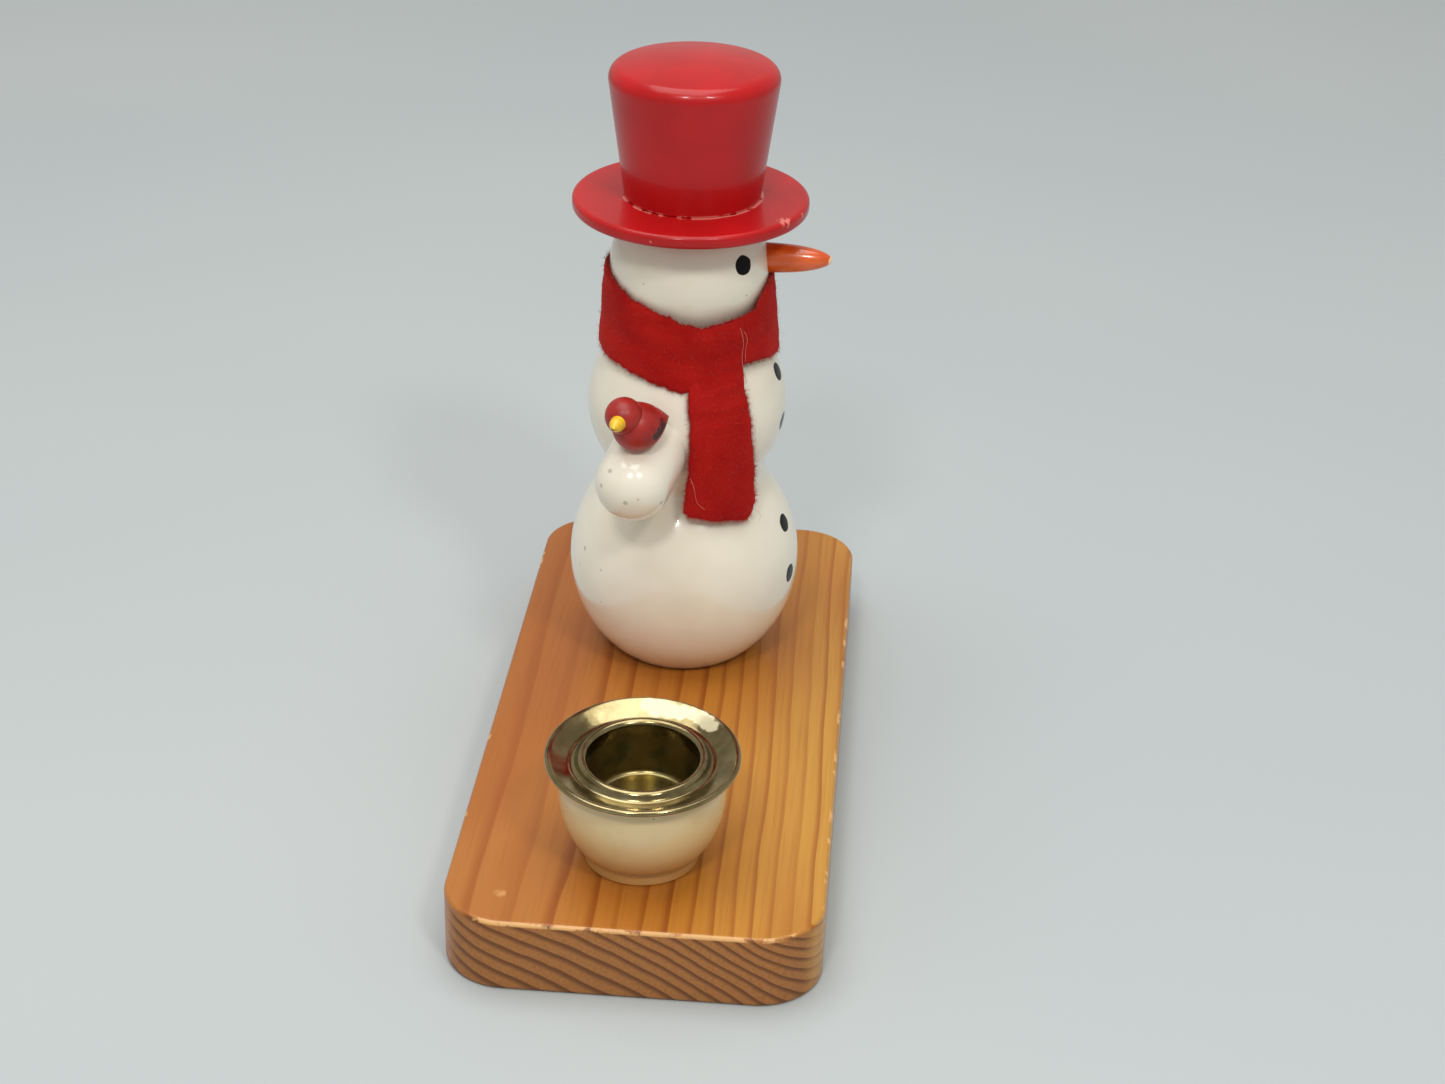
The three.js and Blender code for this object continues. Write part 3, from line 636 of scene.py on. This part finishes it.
def felt(name, pale=0.0):
    """Pressed wool: short matted fibres, uneven dye and a soft sheen."""
    wool = Finish(name, Roughness=0.95, Sheen_Weight=0.35, Sheen_Roughness=0.4, Specular_IOR_Level=0.1)
    wool.set(wool.surface, {"Sheen Tint": linear(226, 96, 84)})
    matted = wool.noise(1300.0, 5.0, 0.7, distortion=1.0)
    cloud = wool.noise(120.0, 3.0, 0.6)
    base = wool.mix(wool.step(cloud, 0.3, 0.7), linear(176, 26, 22), linear(160, 18, 16))
    base = wool.mix(wool.step(matted, 0.5, 0.78, 0.0, 0.35), base, linear(196, 44, 36))
    base = wool.mix(wool.step(matted, 0.28, 0.45, 0.35, 0.0), base, linear(128, 10, 10))
    if pale:
        tuft = wool.step(wool.noise(900.0, 1.0), 0.35, 0.65, 0.6 * pale, pale)
        base = wool.mix(tuft, base, linear(236, 160, 146))
    return wool.finished(base, wool.plus(matted, wool.times(cloud, 0.6)), 0.3, 0.7)


# ---------- board ----------


def board_outline(inset):
    """Corner arcs of the plank's outline, drawn in by inset."""
    half = (BOARD_HIGH - BOARD_LOW)[:2] / 2
    centre = ((BOARD_HIGH + BOARD_LOW) / 2)[:2]
    points = []
    for quarter, (sx, sy) in enumerate(((1, 1), (-1, 1), (-1, -1), (1, -1))):
        corner = centre + (half - CORNER_RADIUS) * (sx, sy)
        for angle in np.radians(np.linspace(90 * quarter, 90 * quarter + 90, 25)):
            points.append(corner + (CORNER_RADIUS - inset) * np.array([math.cos(angle), math.sin(angle)]))
    return points


def screw_recess(node):
    """A cutter for a countersunk screw hole from beneath."""
    low, high = box_mm(node)
    radius = (high[0] - low[0]) / 2 + RECESS_GAP
    profile = [(0, -2), (radius, -2), (radius, RECESS_MOUTH), (RECESS_SHANK, RECESS_CONE),
               (RECESS_SHANK, RECESS_DEPTH), (0, RECESS_DEPTH)]
    place = np.append(axis_of(node), BOARD_LOW[2])
    return turned(f"{node}_recess", None, profile, STEEL, place, sides=48)


def make_board():
    low, high, edge = BOARD_LOW[2], BOARD_HIGH[2], BOARD_EDGE
    rows = [(edge + 0.6, low)]
    turns = np.radians(np.linspace(0, 90, 7))
    rows += [(edge * (1 - math.sin(t)), low + edge * (1 - math.cos(t))) for t in turns]
    rows += [(edge * (1 - math.cos(t)), high - edge * (1 - math.sin(t))) for t in turns]
    rows += [(edge + 0.6, high)]
    vertices, faces = [], []
    for inset, height in rows:
        vertices += [(*point, height) for point in board_outline(inset)]
    count = len(vertices) // len(rows)
    for row in range(len(rows) - 1):
        for side in range(count):
            after = (side + 1) % count
            a, b = row * count, (row + 1) * count
            faces.append((a + side, a + after, b + after, b + side))
    faces.append(tuple(reversed(range(count))))
    faces.append(tuple(range((len(rows) - 1) * count, len(rows) * count)))
    board = add_object("pine_board", vertices, faces, PINE)
    for node in ("body_screw", "cup_screw"):
        cutter = screw_recess(node)
        cut = board.modifiers.new("recess", "BOOLEAN")
        cut.object = cutter
        cut.solver = "EXACT"
        mesh = evaluated_mesh(board)
        board.modifiers.clear()
        board.data = mesh
        bpy.data.objects.remove(cutter)
    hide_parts("base_board")


# ---------- snowman ----------


def make_body():
    low, high = BODY_LOW[2] - 0.1, BODY_HIGH[2]
    lower = arc(*LOWER_BALL, angle_at(LOWER_BALL, BODY_LOW[2]), LOWER_BALL_END, 60)
    middle = arc(*MIDDLE_BALL, MIDDLE_BALL_START, angle_at(MIDDLE_BALL, high), 48)
    start, end = np.array(lower[-1]), np.array(middle[0])
    crook = np.array([WAIST_RADIUS, WAIST_HEIGHT])
    fillet = [tuple((1 - t) ** 2 * start + 2 * t * (1 - t) * crook + t * t * end)
              for t in np.linspace(0, 1, 14)[1:-1]]
    foot = lower[0][0]
    profile = [(0, low), (foot * 0.5, low), (foot - 0.3, low)] + lower + fillet + middle
    profile += [(middle[-1][0] * 0.5, high), (0, high)]
    turned("body_turning", "body", profile, WHITE, SNOWMAN)


def make_head():
    low, high = HEAD_LOW[2], HEAD_HIGH[2] + 0.1
    skull = arc(*HEAD_BALL, angle_at(HEAD_BALL, low), angle_at(HEAD_BALL, high), 64)
    turned("head_turning", "head", [(0, low)] + skull + [(0, high)], WHITE, SNOWMAN)


def make_brim():
    low, high, edge = BRIM_LOW[2], BRIM_HIGH[2], BRIM_EDGE
    rim = BRIM_RADIUS - edge
    profile = [(0, low), (rim * 0.5, low), (rim - 0.6, low)] + rounded(rim, low + edge, edge, -90, 0)
    profile += rounded(rim, high - edge, edge, 0, 90) + [(rim - 0.6, high), (rim * 0.5, high), (0, high)]
    turned("brim_disc", "hat_brim", profile, RED, SNOWMAN)


def make_crown():
    low, high, edge = CROWN_LOW[2] - 0.1, CROWN_HIGH[2] - CROWN_DOME, CROWN_EDGE
    shoulder = rounded(CROWN_TOP - edge, high - edge, edge, -6, 76, 18)
    wall = between((CROWN_FOOT, low + 0.3), shoulder[0], 24)
    reach, rim = shoulder[-1]
    dome = [(reach * share, rim + (high + CROWN_DOME - rim) * (1 - share ** 2))
            for share in np.linspace(0.96, 0.04, 16)]
    profile = [(0, low), (CROWN_FOOT - 0.3, low), (CROWN_FOOT, low + 0.3)] + wall + shoulder + dome
    profile.append((0, high + CROWN_DOME))
    turned("crown_turning", "hat_crown", profile, RED, (*CROWN_AXIS, 0))


def make_nose():
    swing = FRONT + NOSE_SWING
    length = NOSE_REACH - NOSE_START
    taper = [(NOSE_RADIUS * math.sqrt(1 - share ** NOSE_FULLNESS), share * length)
             for share in np.sin(np.linspace(0, math.pi / 2, 40))[:-1]]
    turned("carrot_nose", "nose", [(0, 0)] + taper + [(0, length)], ORANGE,
           on_snowman(swing, NOSE_START, NOSE_HEIGHT), direction(swing), sides=64)


def arm_axis(side):
    return direction(FRONT + side * ARM_SWING, -ARM_FALL)


def hand_centre(side):
    return on_snowman(FRONT + side * ARM_SWING, HAND_DISTANCE, HAND_HEIGHT)


def make_arm(node, side):
    start = hand_centre(side) - arm_axis(side) * ARM_LENGTH
    sleeve = between((ARM_RADIUS, 0), (ARM_RADIUS, ARM_LENGTH), 12)
    hand = rounded(0, ARM_LENGTH, ARM_RADIUS, 0, 88, 24)
    profile = [(0, 0), (ARM_RADIUS, 0)] + sleeve + hand + [(0, ARM_LENGTH + ARM_RADIUS)]
    turned(f"{node}_turning", node, profile, WHITE, start, arm_axis(side), sides=96)


# ---------- bird ----------

BIRD = on_snowman(FRONT + BIRD_SWING, BIRD_DISTANCE, BIRD_HEIGHT)
BIRD_HEAD = BIRD + BIRD_HEAD_REACH * direction(FRONT + BIRD_HEAD_SWING, BIRD_HEAD_RISE)
BEAK_WAY = direction(FRONT + BEAK_SWING, BEAK_RISE)
TAIL_WAY = direction(FRONT + TAIL_SWING, TAIL_RISE)


def bird_marks():
    """Dark wing patches either side of the tail, and the eyes either side of the beak."""
    across_tail = np.cross(TAIL_WAY, UP)
    across_beak = np.cross(BEAK_WAY, UP)
    patches = []
    for side in (-1, 1):
        root = BIRD + 2.6 * TAIL_WAY + side * 3.7 * across_tail
        patches.append((root + np.array([0, 0, -0.4]), 1.5))
        patches.append((root + 1.3 * TAIL_WAY - side * 0.8 * across_tail, 1.35))
    eyes = [BIRD_HEAD + BIRD_HEAD_RADIUS * (0.02 * BEAK_WAY + side * across_beak) for side in (-1, 1)]
    return patches, eyes


def make_bird():
    patches, eyes = bird_marks()
    paint = bird_paint(patches, eyes, BIRD - (0, 0, BIRD_RADIUS))
    ball = rounded(0, 0, BIRD_RADIUS, -88, 0, 30)
    tail = [(BIRD_RADIUS * (1 - share ** 2), share * BIRD_TAIL) for share in np.linspace(0.04, 0.98, 30)]
    profile = [(0, -BIRD_RADIUS)] + ball + tail + [(0, BIRD_TAIL)]
    turned("bird_turning", "bird_body", profile, paint, BIRD, TAIL_WAY, sides=80)
    skull = [(0, -BIRD_HEAD_RADIUS)] + rounded(0, 0, BIRD_HEAD_RADIUS, -87, 87, 36) + [(0, BIRD_HEAD_RADIUS)]
    turned("bird_head_ball", "bird_head", skull, paint, BIRD_HEAD, BEAK_WAY, sides=72)


def make_beak():
    start = BIRD_HEAD + BEAK_WAY * (BIRD_HEAD_RADIUS - BEAK_SUNK)
    shank = [(BEAK_RADIUS, 0)] + between((BEAK_RADIUS, 0), (BEAK_SHOULDER, 1.4), 3)
    cone = [(BEAK_SHOULDER * (1 - t ** 1.6) + BEAK_TIP * t ** 1.6, 1.4 + 2.2 * t)
            for t in np.linspace(0, 1, 9)]
    profile = [(0, 0)] + shank + cone + [(BEAK_TIP / 2, BEAK_LENGTH - 0.1), (0, BEAK_LENGTH)]
    chip = start + BEAK_WAY * BEAK_LENGTH - np.array([0, -0.3, 0.5])
    turned("beak_cone", "bird_beak", profile, beak_paint(chip), start, BEAK_WAY, sides=40)


# ---------- scarf ----------

# Heights of the wrap's edges by azimuth, and its outer radius by height.
WRAP_TOP = [(5, 108.2), (16, 107.7), (26, 106.3), (35, 104.0), (52, 103.4), (66, 102.9), (76, 102.3),
            (88, 103.1), (100, 104.7), (124, 106.3), (140, 107.7), (152, 108.9), (172, 110.2), (230, 108.6),
            (290, 107.2), (335, 108.0)]
WRAP_FOOT = [(-3, 90.4), (14, 91.3), (35, 92.6), (45, 92.8), (62, 90.6), (76, 88.6), (88, 88.0), (104, 89.2),
             (120, 90.5), (136, 91.4), (165, 91.8), (240, 91.2), (300, 90.6)]
WRAP_REACH = [(86, 21.1), (88, 20.6), (90, 20.2), (93, 19.8), (99, 19.5), (104, 19.0), (107, 18.6),
              (111, 18.3)]
# The hanging end: its bottom edge across the width, and its two side edges by height.
TAIL_FOOT = [(0.0, 60.4), (0.08, 59.4), (0.5, 57.9), (0.86, 56.8), (0.91, 57.6), (1.0, 60.4)]
TAIL_REACH = [(55, 23.0), (66, 23.3), (76, 23.5), (80, 23.3), (84, 22.7), (88, 21.9), (94, 21.2), (104, 20.3)]
TAIL_LEFT = [(56, 87.0), (62, 85.5), (72, 83.5), (80, 83.0), (88, 84.5), (104, 86.0)]
TAIL_RIGHT = [(56, 41.0), (66, 43.6), (80, 47.6), (90, 50.0), (104, 49.5)]


def eased(keys, value):
    """Cosine-eased value between given keys."""
    places = [key for key, _ in keys]
    index = min(max(np.searchsorted(places, value) - 1, 0), len(keys) - 2)
    (a, first), (b, last) = keys[index], keys[index + 1]
    share = min(max((value - a) / (b - a), 0.0), 1.0)
    return first + (last - first) * (1 - math.cos(math.pi * share)) / 2


def eased_round(keys, azimuth):
    azimuth = azimuth % 360
    wrapped = [(keys[-1][0] - 360, keys[-1][1])] + keys + [(keys[0][0] + 360, keys[0][1])]
    return eased(wrapped, azimuth)


def uneven(azimuth, height, seed):
    """A smooth small wobble, from -1 to 1."""
    a = math.radians(azimuth)
    return (0.5 * math.sin(3 * a + 0.21 * height + seed) + 0.3 * math.sin(7 * a - 0.33 * height + 2 * seed)
            + 0.2 * math.sin(13 * a + 0.6 * height + 3 * seed))


def wrap_reach(azimuth, share, height):
    """Distance of the wrap's outer face from the axis, with a soft lengthwise crease."""
    side = 0.6 + 0.4 * math.cos(math.radians(azimuth - 125))
    crease = -0.4 * math.exp(-((share - 0.42) / 0.14) ** 2) * side
    return eased(WRAP_REACH, height) + crease + 0.16 * uneven(azimuth, height, 0.7)


def wrap_point(azimuth, share, depth):
    """share runs from the foot edge to the top edge, depth inwards from the outer face."""
    foot = eased_round(WRAP_FOOT, azimuth) + 0.1 * math.sin(azimuth * 0.9) + 0.05 * math.sin(azimuth * 4.3)
    top = eased_round(WRAP_TOP, azimuth) + 0.1 * math.sin(azimuth * 1.3) + 0.05 * math.sin(azimuth * 3.9)
    height = foot + (top - foot) * share
    return on_snowman(azimuth, wrap_reach(azimuth, share, height) - depth, height)


def tail_point(across, share, depth):
    """across runs from the left edge to the right edge, share from the top down.

    Above the wrap's foot the tail lies on the wrap, and its left edge sinks softly into it.
    """
    middle = 86 - 36 * across
    top = eased_round(WRAP_TOP, middle) + 0.15
    foot = eased(TAIL_FOOT, across)
    height = top + (foot - top) * share
    left, right = eased(TAIL_LEFT, height), eased(TAIL_RIGHT, height)
    ragged = 0.22 * math.sin(height * 1.1 + across * 5) + 0.12 * math.sin(height * 3.7)
    azimuth = left + (right - left) * across + ragged * (2 * across - 1) ** 3
    reach = eased(TAIL_REACH, height) + 0.35 * math.sin(math.pi * across) - 0.15
    wrap_foot = eased_round(WRAP_FOOT, azimuth)
    merged = min(max((height - wrap_foot + 1.0) / 3.0, 0.0), 1.0)
    lift = math.sin(math.pi / 2 * min(across / 0.45, 1.0)) ** 2
    wrap_share = (height - wrap_foot) / (top - wrap_foot)
    folded = wrap_reach(azimuth, wrap_share, height) - 0.3 + lift * (FELT + 0.25)
    reach += merged * (folded - reach)
    reach += 0.16 * uneven(azimuth, height, 2.1)
    return on_snowman(azimuth, reach - depth, height)


def slab(point, columns, rows, closed):
    """A felt sheet of FELT thickness with softened edges; point(u, v, depth) gives its places."""
    vertices, faces = [], []
    us = np.linspace(0, 1, columns, endpoint=not closed)
    vs = np.linspace(0, 1, rows)
    for layer in (0, 1):
        for u in us:
            for v in vs:
                rim = min(v, 1 - v) if closed else min(v, 1 - v, u, 1 - u)
                thin = 0.5 * (1 - min(rim / 0.06, 1.0)) ** 2
                depth = FELT * (thin * 0.6 if layer == 0 else 1 - thin * 0.6)
                vertices.append(point(u, v, depth))
    size = columns * rows
    spans = columns if closed else columns - 1
    for i in range(spans):
        j = (i + 1) % columns
        for k in range(rows - 1):
            a, b, c, d = i * rows + k, j * rows + k, j * rows + k + 1, i * rows + k + 1
            faces.append((a, b, c, d))
            faces.append((size + d, size + c, size + b, size + a))
        for k, flip in ((0, False), (rows - 1, True)):
            a, b = i * rows + k, j * rows + k
            side = (a, size + a, size + b, b)
            faces.append(tuple(reversed(side)) if flip else side)
    if not closed:
        for i, flip in ((0, True), (columns - 1, False)):
            for k in range(rows - 1):
                a, b = i * rows + k, i * rows + k + 1
                side = (a, size + a, size + b, b)
                faces.append(tuple(reversed(side)) if flip else side)
    return np.array(vertices), faces


def join_meshes(parts):
    vertices, faces, offset = [], [], 0
    for points, polygons in parts:
        vertices.append(points)
        faces += [tuple(index + offset for index in polygon) for polygon in polygons]
        offset += len(points)
    return np.vstack(vertices), faces


def make_scarf():
    wrap = slab(lambda u, v, depth: wrap_point(360 * u, v, depth), 300, 26, True)
    tail = slab(lambda u, v, depth: tail_point(u, v, depth), 34, 100, False)
    vertices, faces = join_meshes([wrap, tail])
    scarf = add_object("felt_scarf", vertices, faces, FELT_RED, sharp=60)
    mesh = bmesh.new()
    mesh.from_mesh(scarf.data)
    bmesh.ops.recalc_face_normals(mesh, faces=mesh.faces)
    mesh.to_mesh(scarf.data)
    mesh.free()
    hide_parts("scarf")
    make_fuzz()
    make_threads()


def fibre(root, way, length, width, bend):
    """A thin tapered strand of three sides that leaves root along way and bends."""
    side = np.cross(way, bend)
    side /= np.linalg.norm(side) + 1e-9
    other = np.cross(way, side)
    vertices = []
    for share in (0.0, 0.5, 0.85):
        centre = root + way * length * share + bend * length * share ** 2
        radius = width * (1 - 0.75 * share)
        for turn in (0, 2.094, 4.189):
            vertices.append(centre + radius * (math.cos(turn) * side + math.sin(turn) * other))
    vertices.append(root + way * length + bend * length)
    faces = [(0, 2, 1)]
    for ring in (0, 3):
        for k in range(3):
            faces.append((ring + k, ring + (k + 1) % 3, ring + 3 + (k + 1) % 3, ring + 3 + k))
    faces += [(6, 7, 9), (7, 8, 9), (8, 6, 9)]
    return np.array(vertices), faces


def wool_fibre(random, root, outward, out_of_cloth):
    """One loose fibre that leaves root roughly outward and a little away from the cloth."""
    way = outward + 0.55 * random.normal(size=3) + 0.25 * out_of_cloth
    way /= np.linalg.norm(way)
    bend = 0.5 * random.normal(size=3)
    return fibre(root, way, random.uniform(0.25, 1.0), random.uniform(0.018, 0.034), bend)


def make_fuzz():
    """Loose wool along the cut edges and thinly over the face."""
    random = np.random.default_rng(7)
    parts = []
    for _ in range(5200):
        azimuth, share = random.uniform(0, 360), random.choice((0.0, 1.0))
        root = wrap_point(azimuth, share, random.uniform(0.1, FELT - 0.1))
        outward = np.array([0, 0, 1.0 if share else -1.0])
        parts.append(wool_fibre(random, root, outward, direction(azimuth)))
    for _ in range(3400):
        side, share = random.integers(0, 3), random.uniform(0, 1)
        across = (0.0, 1.0, share)[side]
        down = 1.0 if side == 2 else 0.36 + 0.64 * share
        root = tail_point(across, down, random.uniform(0.1, FELT - 0.1))
        outward = (direction(155), direction(-25), np.array([0, 0, -1.0]))[side]
        parts.append(wool_fibre(random, root, outward, direction(65)))
    for _ in range(2600):
        azimuth = random.uniform(0, 360)
        root = wrap_point(azimuth, random.uniform(0.03, 0.97), 0.05)
        lie = np.cross(direction(azimuth), UP) * random.choice((-1, 1)) + 0.8 * random.normal(size=3)
        parts.append(wool_fibre(random, root, 0.5 * lie, direction(azimuth)))
    for _ in range(1600):
        root = tail_point(random.uniform(0.02, 0.98), random.uniform(0.02, 0.98), 0.05)
        lie = np.array([0, 0, random.choice((-1.0, 1.0))]) + 0.8 * random.normal(size=3)
        parts.append(wool_fibre(random, root, 0.5 * lie, direction(65)))
    vertices, faces = join_meshes(parts)
    return add_object("scarf_fuzz", vertices, faces, FELT_FUZZ, sharp=180)


def strand(points, radius):
    """A smooth thin thread through a few points."""
    curve = bpy.data.curves.new("thread", "CURVE")
    curve.dimensions = "3D"
    curve.bevel_depth = radius * MM
    curve.bevel_resolution = 2
    spline = curve.splines.new("NURBS")
    spline.points.add(len(points) - 1)
    for place, point in zip(spline.points, points):
        place.co = (*(np.asarray(point) * MM), 1.0)
    spline.use_endpoint_u = True
    spline.order_u = 3
    return curve


def make_threads():
    """A few long pulled threads: one at the hanging end's lower corner, others at its step."""
    routes = [
        (0.045, [(0.03, 0.79, 0.0), (0.09, 0.81, -0.5), (0.13, 0.88, -0.6), (0.17, 0.92, -0.2),
                 (0.26, 0.94, 0.0)]),
        (0.045, [(0.92, 0.03, 0.0), (0.99, 0.1, -0.4), (0.93, 0.17, -0.5), (0.97, 0.25, -0.3),
                 (1.03, 0.33, 0.0)]),
        (0.035, [(0.98, 0.05, 0.0), (1.07, 0.09, -0.3), (1.02, 0.16, 0.0), (1.06, 0.22, 0.3)]),
        (0.03, [(0.93, 0.98, 0.2), (0.98, 1.03, -0.3), (1.02, 1.07, -0.9), (1.0, 1.11, -0.8)]),
        (0.03, [(0.97, 0.52, 0.1), (1.05, 0.55, -0.2), (1.02, 0.62, -0.3), (1.07, 0.68, 0.3)]),
    ]
    parts = []
    for radius, route in routes:
        curve = strand([tail_point(*stop) for stop in route], radius)
        holder = place_in_scene("thread", curve)
        mesh = evaluated_mesh(holder)
        points = np.array([vertex.co[:] for vertex in mesh.vertices]) / MM
        parts.append((points, [tuple(polygon.vertices) for polygon in mesh.polygons]))
        bpy.data.objects.remove(holder)
    vertices, faces = join_meshes(parts)
    return add_object("scarf_threads", vertices, faces, FELT_PALE, sharp=180)


# ---------- candle cup ----------


def make_cup():
    """The turned cup: a foot ring, a groove, the bowl, a rounded lip and the bore."""
    foot, top = CUP_LOW[2], CUP_HIGH[2]
    ball = (CUP_RADIUS, CUP_HALF_HEIGHT, foot + CUP_WIDEST)
    bowl = arc(*ball, angle_at(ball, foot + CUP_BOWL_START), angle_at(ball, top - CUP_LIP), 40)
    under = foot - 0.1
    ring = [(0, under), (6, under), (CUP_FOOT_RADIUS - 0.05, under)]
    ring += rounded(CUP_FOOT_RADIUS, foot + CUP_FOOT_EDGE, CUP_FOOT_EDGE, -80, 0, 5)
    ring += rounded(CUP_FOOT_RADIUS - 0.2, foot + 2.6, 0.6, 0, 75, 6)
    groove = [(11.2, foot + 3.45), (11.3, foot + 3.65)]
    lip = rounded(bowl[-1][0] - CUP_LIP, top - CUP_LIP, CUP_LIP, 10, 90, 5)
    floor = foot + BORE_FLOOR
    seat = [(SEAT_RADIUS, top), (BORE_RADIUS, foot + SEAT_HEIGHT)]
    bore = [(BORE_RADIUS, floor), (6, floor), (0, floor)]
    turned("cup_turning", "candle_cup", ring + groove + bowl + lip + seat + bore, IVORY, (*CUP_AXIS, 0))


def insert_profile():
    """The pressing from beneath the well, round the rim and back in, with the rim's centre at 0."""
    underside = -WELL_DEPTH - SHEET
    under = [(0, underside), (5, underside), (9.7, underside)]
    under += rounded(10.2, 0.4 - WELL_DEPTH, 0.7, -60, 0, 4) + [(WELL_MOUTH + SHEET, -4.2)]
    under += rounded(13.5, -3.4, 0.6, 180, 90, 4) + [(RIM_RADIUS - 1.1, -1.35)]
    rim = rounded(RIM_RADIUS - RIM_EDGE, -RIM_EDGE, RIM_EDGE, -110, 100, 14)
    pan = between((RIM_RADIUS - 1, -0.12), (14.7, -1.9), 10)
    pan += [(14.3, -1.95), (13.9, -1.86), (13.6, -1.62), (13.42, -1.34)]
    bead = rounded(WELL_MOUTH + BEAD_RADIUS, -BEAD_DROP, BEAD_RADIUS, 18, 180, 20)
    wall = between((WELL_MOUTH, -BEAD_DROP - 0.2), (10.4, 1.8 - WELL_DEPTH), 8)
    floor = rounded(WELL_FOOT, WELL_CORNER - WELL_DEPTH, WELL_CORNER, 0, -84, 8)
    floor += [(8, -WELL_DEPTH), (4, -WELL_DEPTH), (0, -WELL_DEPTH)]
    return under + rim + pan + bead + wall + floor


def make_insert():
    """The pressed insert, a well with a beaded mouth in a shallow rolled-edge pan, set leaning."""
    vertices, faces = revolve(insert_profile(), SIDES)
    lean = np.array(Matrix.Rotation(math.radians(-INSERT_LEAN), 3, "Y"))
    place = np.array([*CUP_AXIS, INSERT_RIM])
    insert = add_object("insert_pressing", vertices @ lean.T + place, faces, BRASS, body="insert")
    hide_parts("candle_insert")


# ---------- studio ----------


def make_camera():
    yaw, pitch, roll = CAMERA_YAW, CAMERA_PITCH, CAMERA_ROLL
    ahead = Vector((math.cos(yaw) * math.cos(pitch), math.sin(yaw) * math.cos(pitch), -math.sin(pitch)))
    right = ahead.cross(UP).normalized()
    down = ahead.cross(right)
    rolled_right = math.cos(roll) * right + math.sin(roll) * down
    rolled_down = math.cos(roll) * down - math.sin(roll) * right
    data = bpy.data.cameras.new("camera")
    data.sensor_width = 36
    data.lens = FOCAL_LENGTH
    data.clip_start = 0.01
    camera = place_in_scene("camera", data)
    turn = Matrix((rolled_right, -rolled_down, -ahead)).transposed()
    camera.matrix_world = Matrix.Translation(CAMERA_PLACE) @ turn.to_4x4()
    bpy.context.scene.camera = camera


def make_floor():
    ground = Finish("pale_ground", Roughness=0.55)
    tone = ground.step(ground.noise(3.0, 2.0), 0.3, 0.7)
    base = ground.mix(tone, linear(180, 186, 186), linear(175, 182, 183))
    ground.set(ground.surface, {"Base Color": base})
    size = 4000
    vertices = [(-size, -size, 0), (size, -size, 0), (size, size, 0), (-size, size, 0)]
    mesh = bpy.data.meshes.new("floor")
    mesh.from_pydata((np.array(vertices) * MM).tolist(), [], [(0, 1, 2, 3)])
    mesh.materials.append(ground.material)
    place_in_scene("floor", mesh)


def area_light(name, place, size, power, colour=(1, 1, 1), shape="SQUARE"):
    data = bpy.data.lights.new(name, "AREA")
    data.shape = shape
    data.size = size
    data.energy = power
    data.color = colour
    light = place_in_scene(name, data)
    way = Vector(AIM) - Vector(place)
    light.matrix_world = Matrix.Translation(place) @ way.to_track_quat("-Z", "Y").to_matrix().to_4x4()


def make_lights():
    world = bpy.data.worlds.new("studio")
    world.use_nodes = True
    sky = world.node_tree.nodes["Background"]
    sky.inputs["Color"].default_value = SKY_COLOUR
    sky.inputs["Strength"].default_value = SKY_STRENGTH
    bpy.context.scene.world = world
    area_light("softbox", SOFTBOX_PLACE, SOFTBOX_SIZE, SOFTBOX_POWER)
    for name, azimuth in zip(("left_lamp", "right_lamp"), LAMP_AZIMUTHS):
        around, up = math.radians(azimuth), math.radians(LAMP_RISE)
        way = (math.sin(around) * math.cos(up), -math.cos(around) * math.cos(up), math.sin(up))
        place = Vector(AIM) + LAMP_DISTANCE * Vector(way)
        area_light(name, place, LAMP_SIZE, LAMP_POWER, (1.0, 0.98, 0.95), "DISK")
    bpy.context.scene.view_settings.view_transform = "Standard"


# ---------- assembly ----------

PINE = pine()
WHITE = white_enamel()
IVORY = ivory_enamel()
RED = red_enamel()
ORANGE = orange_enamel()
BEECH = beech()
BRASS = brass()
STEEL = screw_steel()
FELT_RED = felt("red_felt")
FELT_FUZZ = felt("red_felt_fuzz", 0.3)
FELT_PALE = felt("red_felt_thread", 0.85)

make_camera()
make_floor()
make_lights()
make_board()
make_body()
make_head()
make_brim()
make_crown()
make_nose()
make_arm("right_arm", 1)
make_arm("left_arm", -1)
make_bird()
make_beak()
make_scarf()
make_cup()
make_insert()

CAD_FINISHES = {
    "body_screw": STEEL, "cup_screw": STEEL, "neck_dowel": BEECH, "hat_dowel": BEECH,
    "right_arm_dowel": BEECH, "left_arm_dowel": BEECH, "bird_peg": BEECH,
}
for node, finish in CAD_FINISHES.items():
    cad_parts[node].data.materials.clear()
    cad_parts[node].data.materials.append(finish)
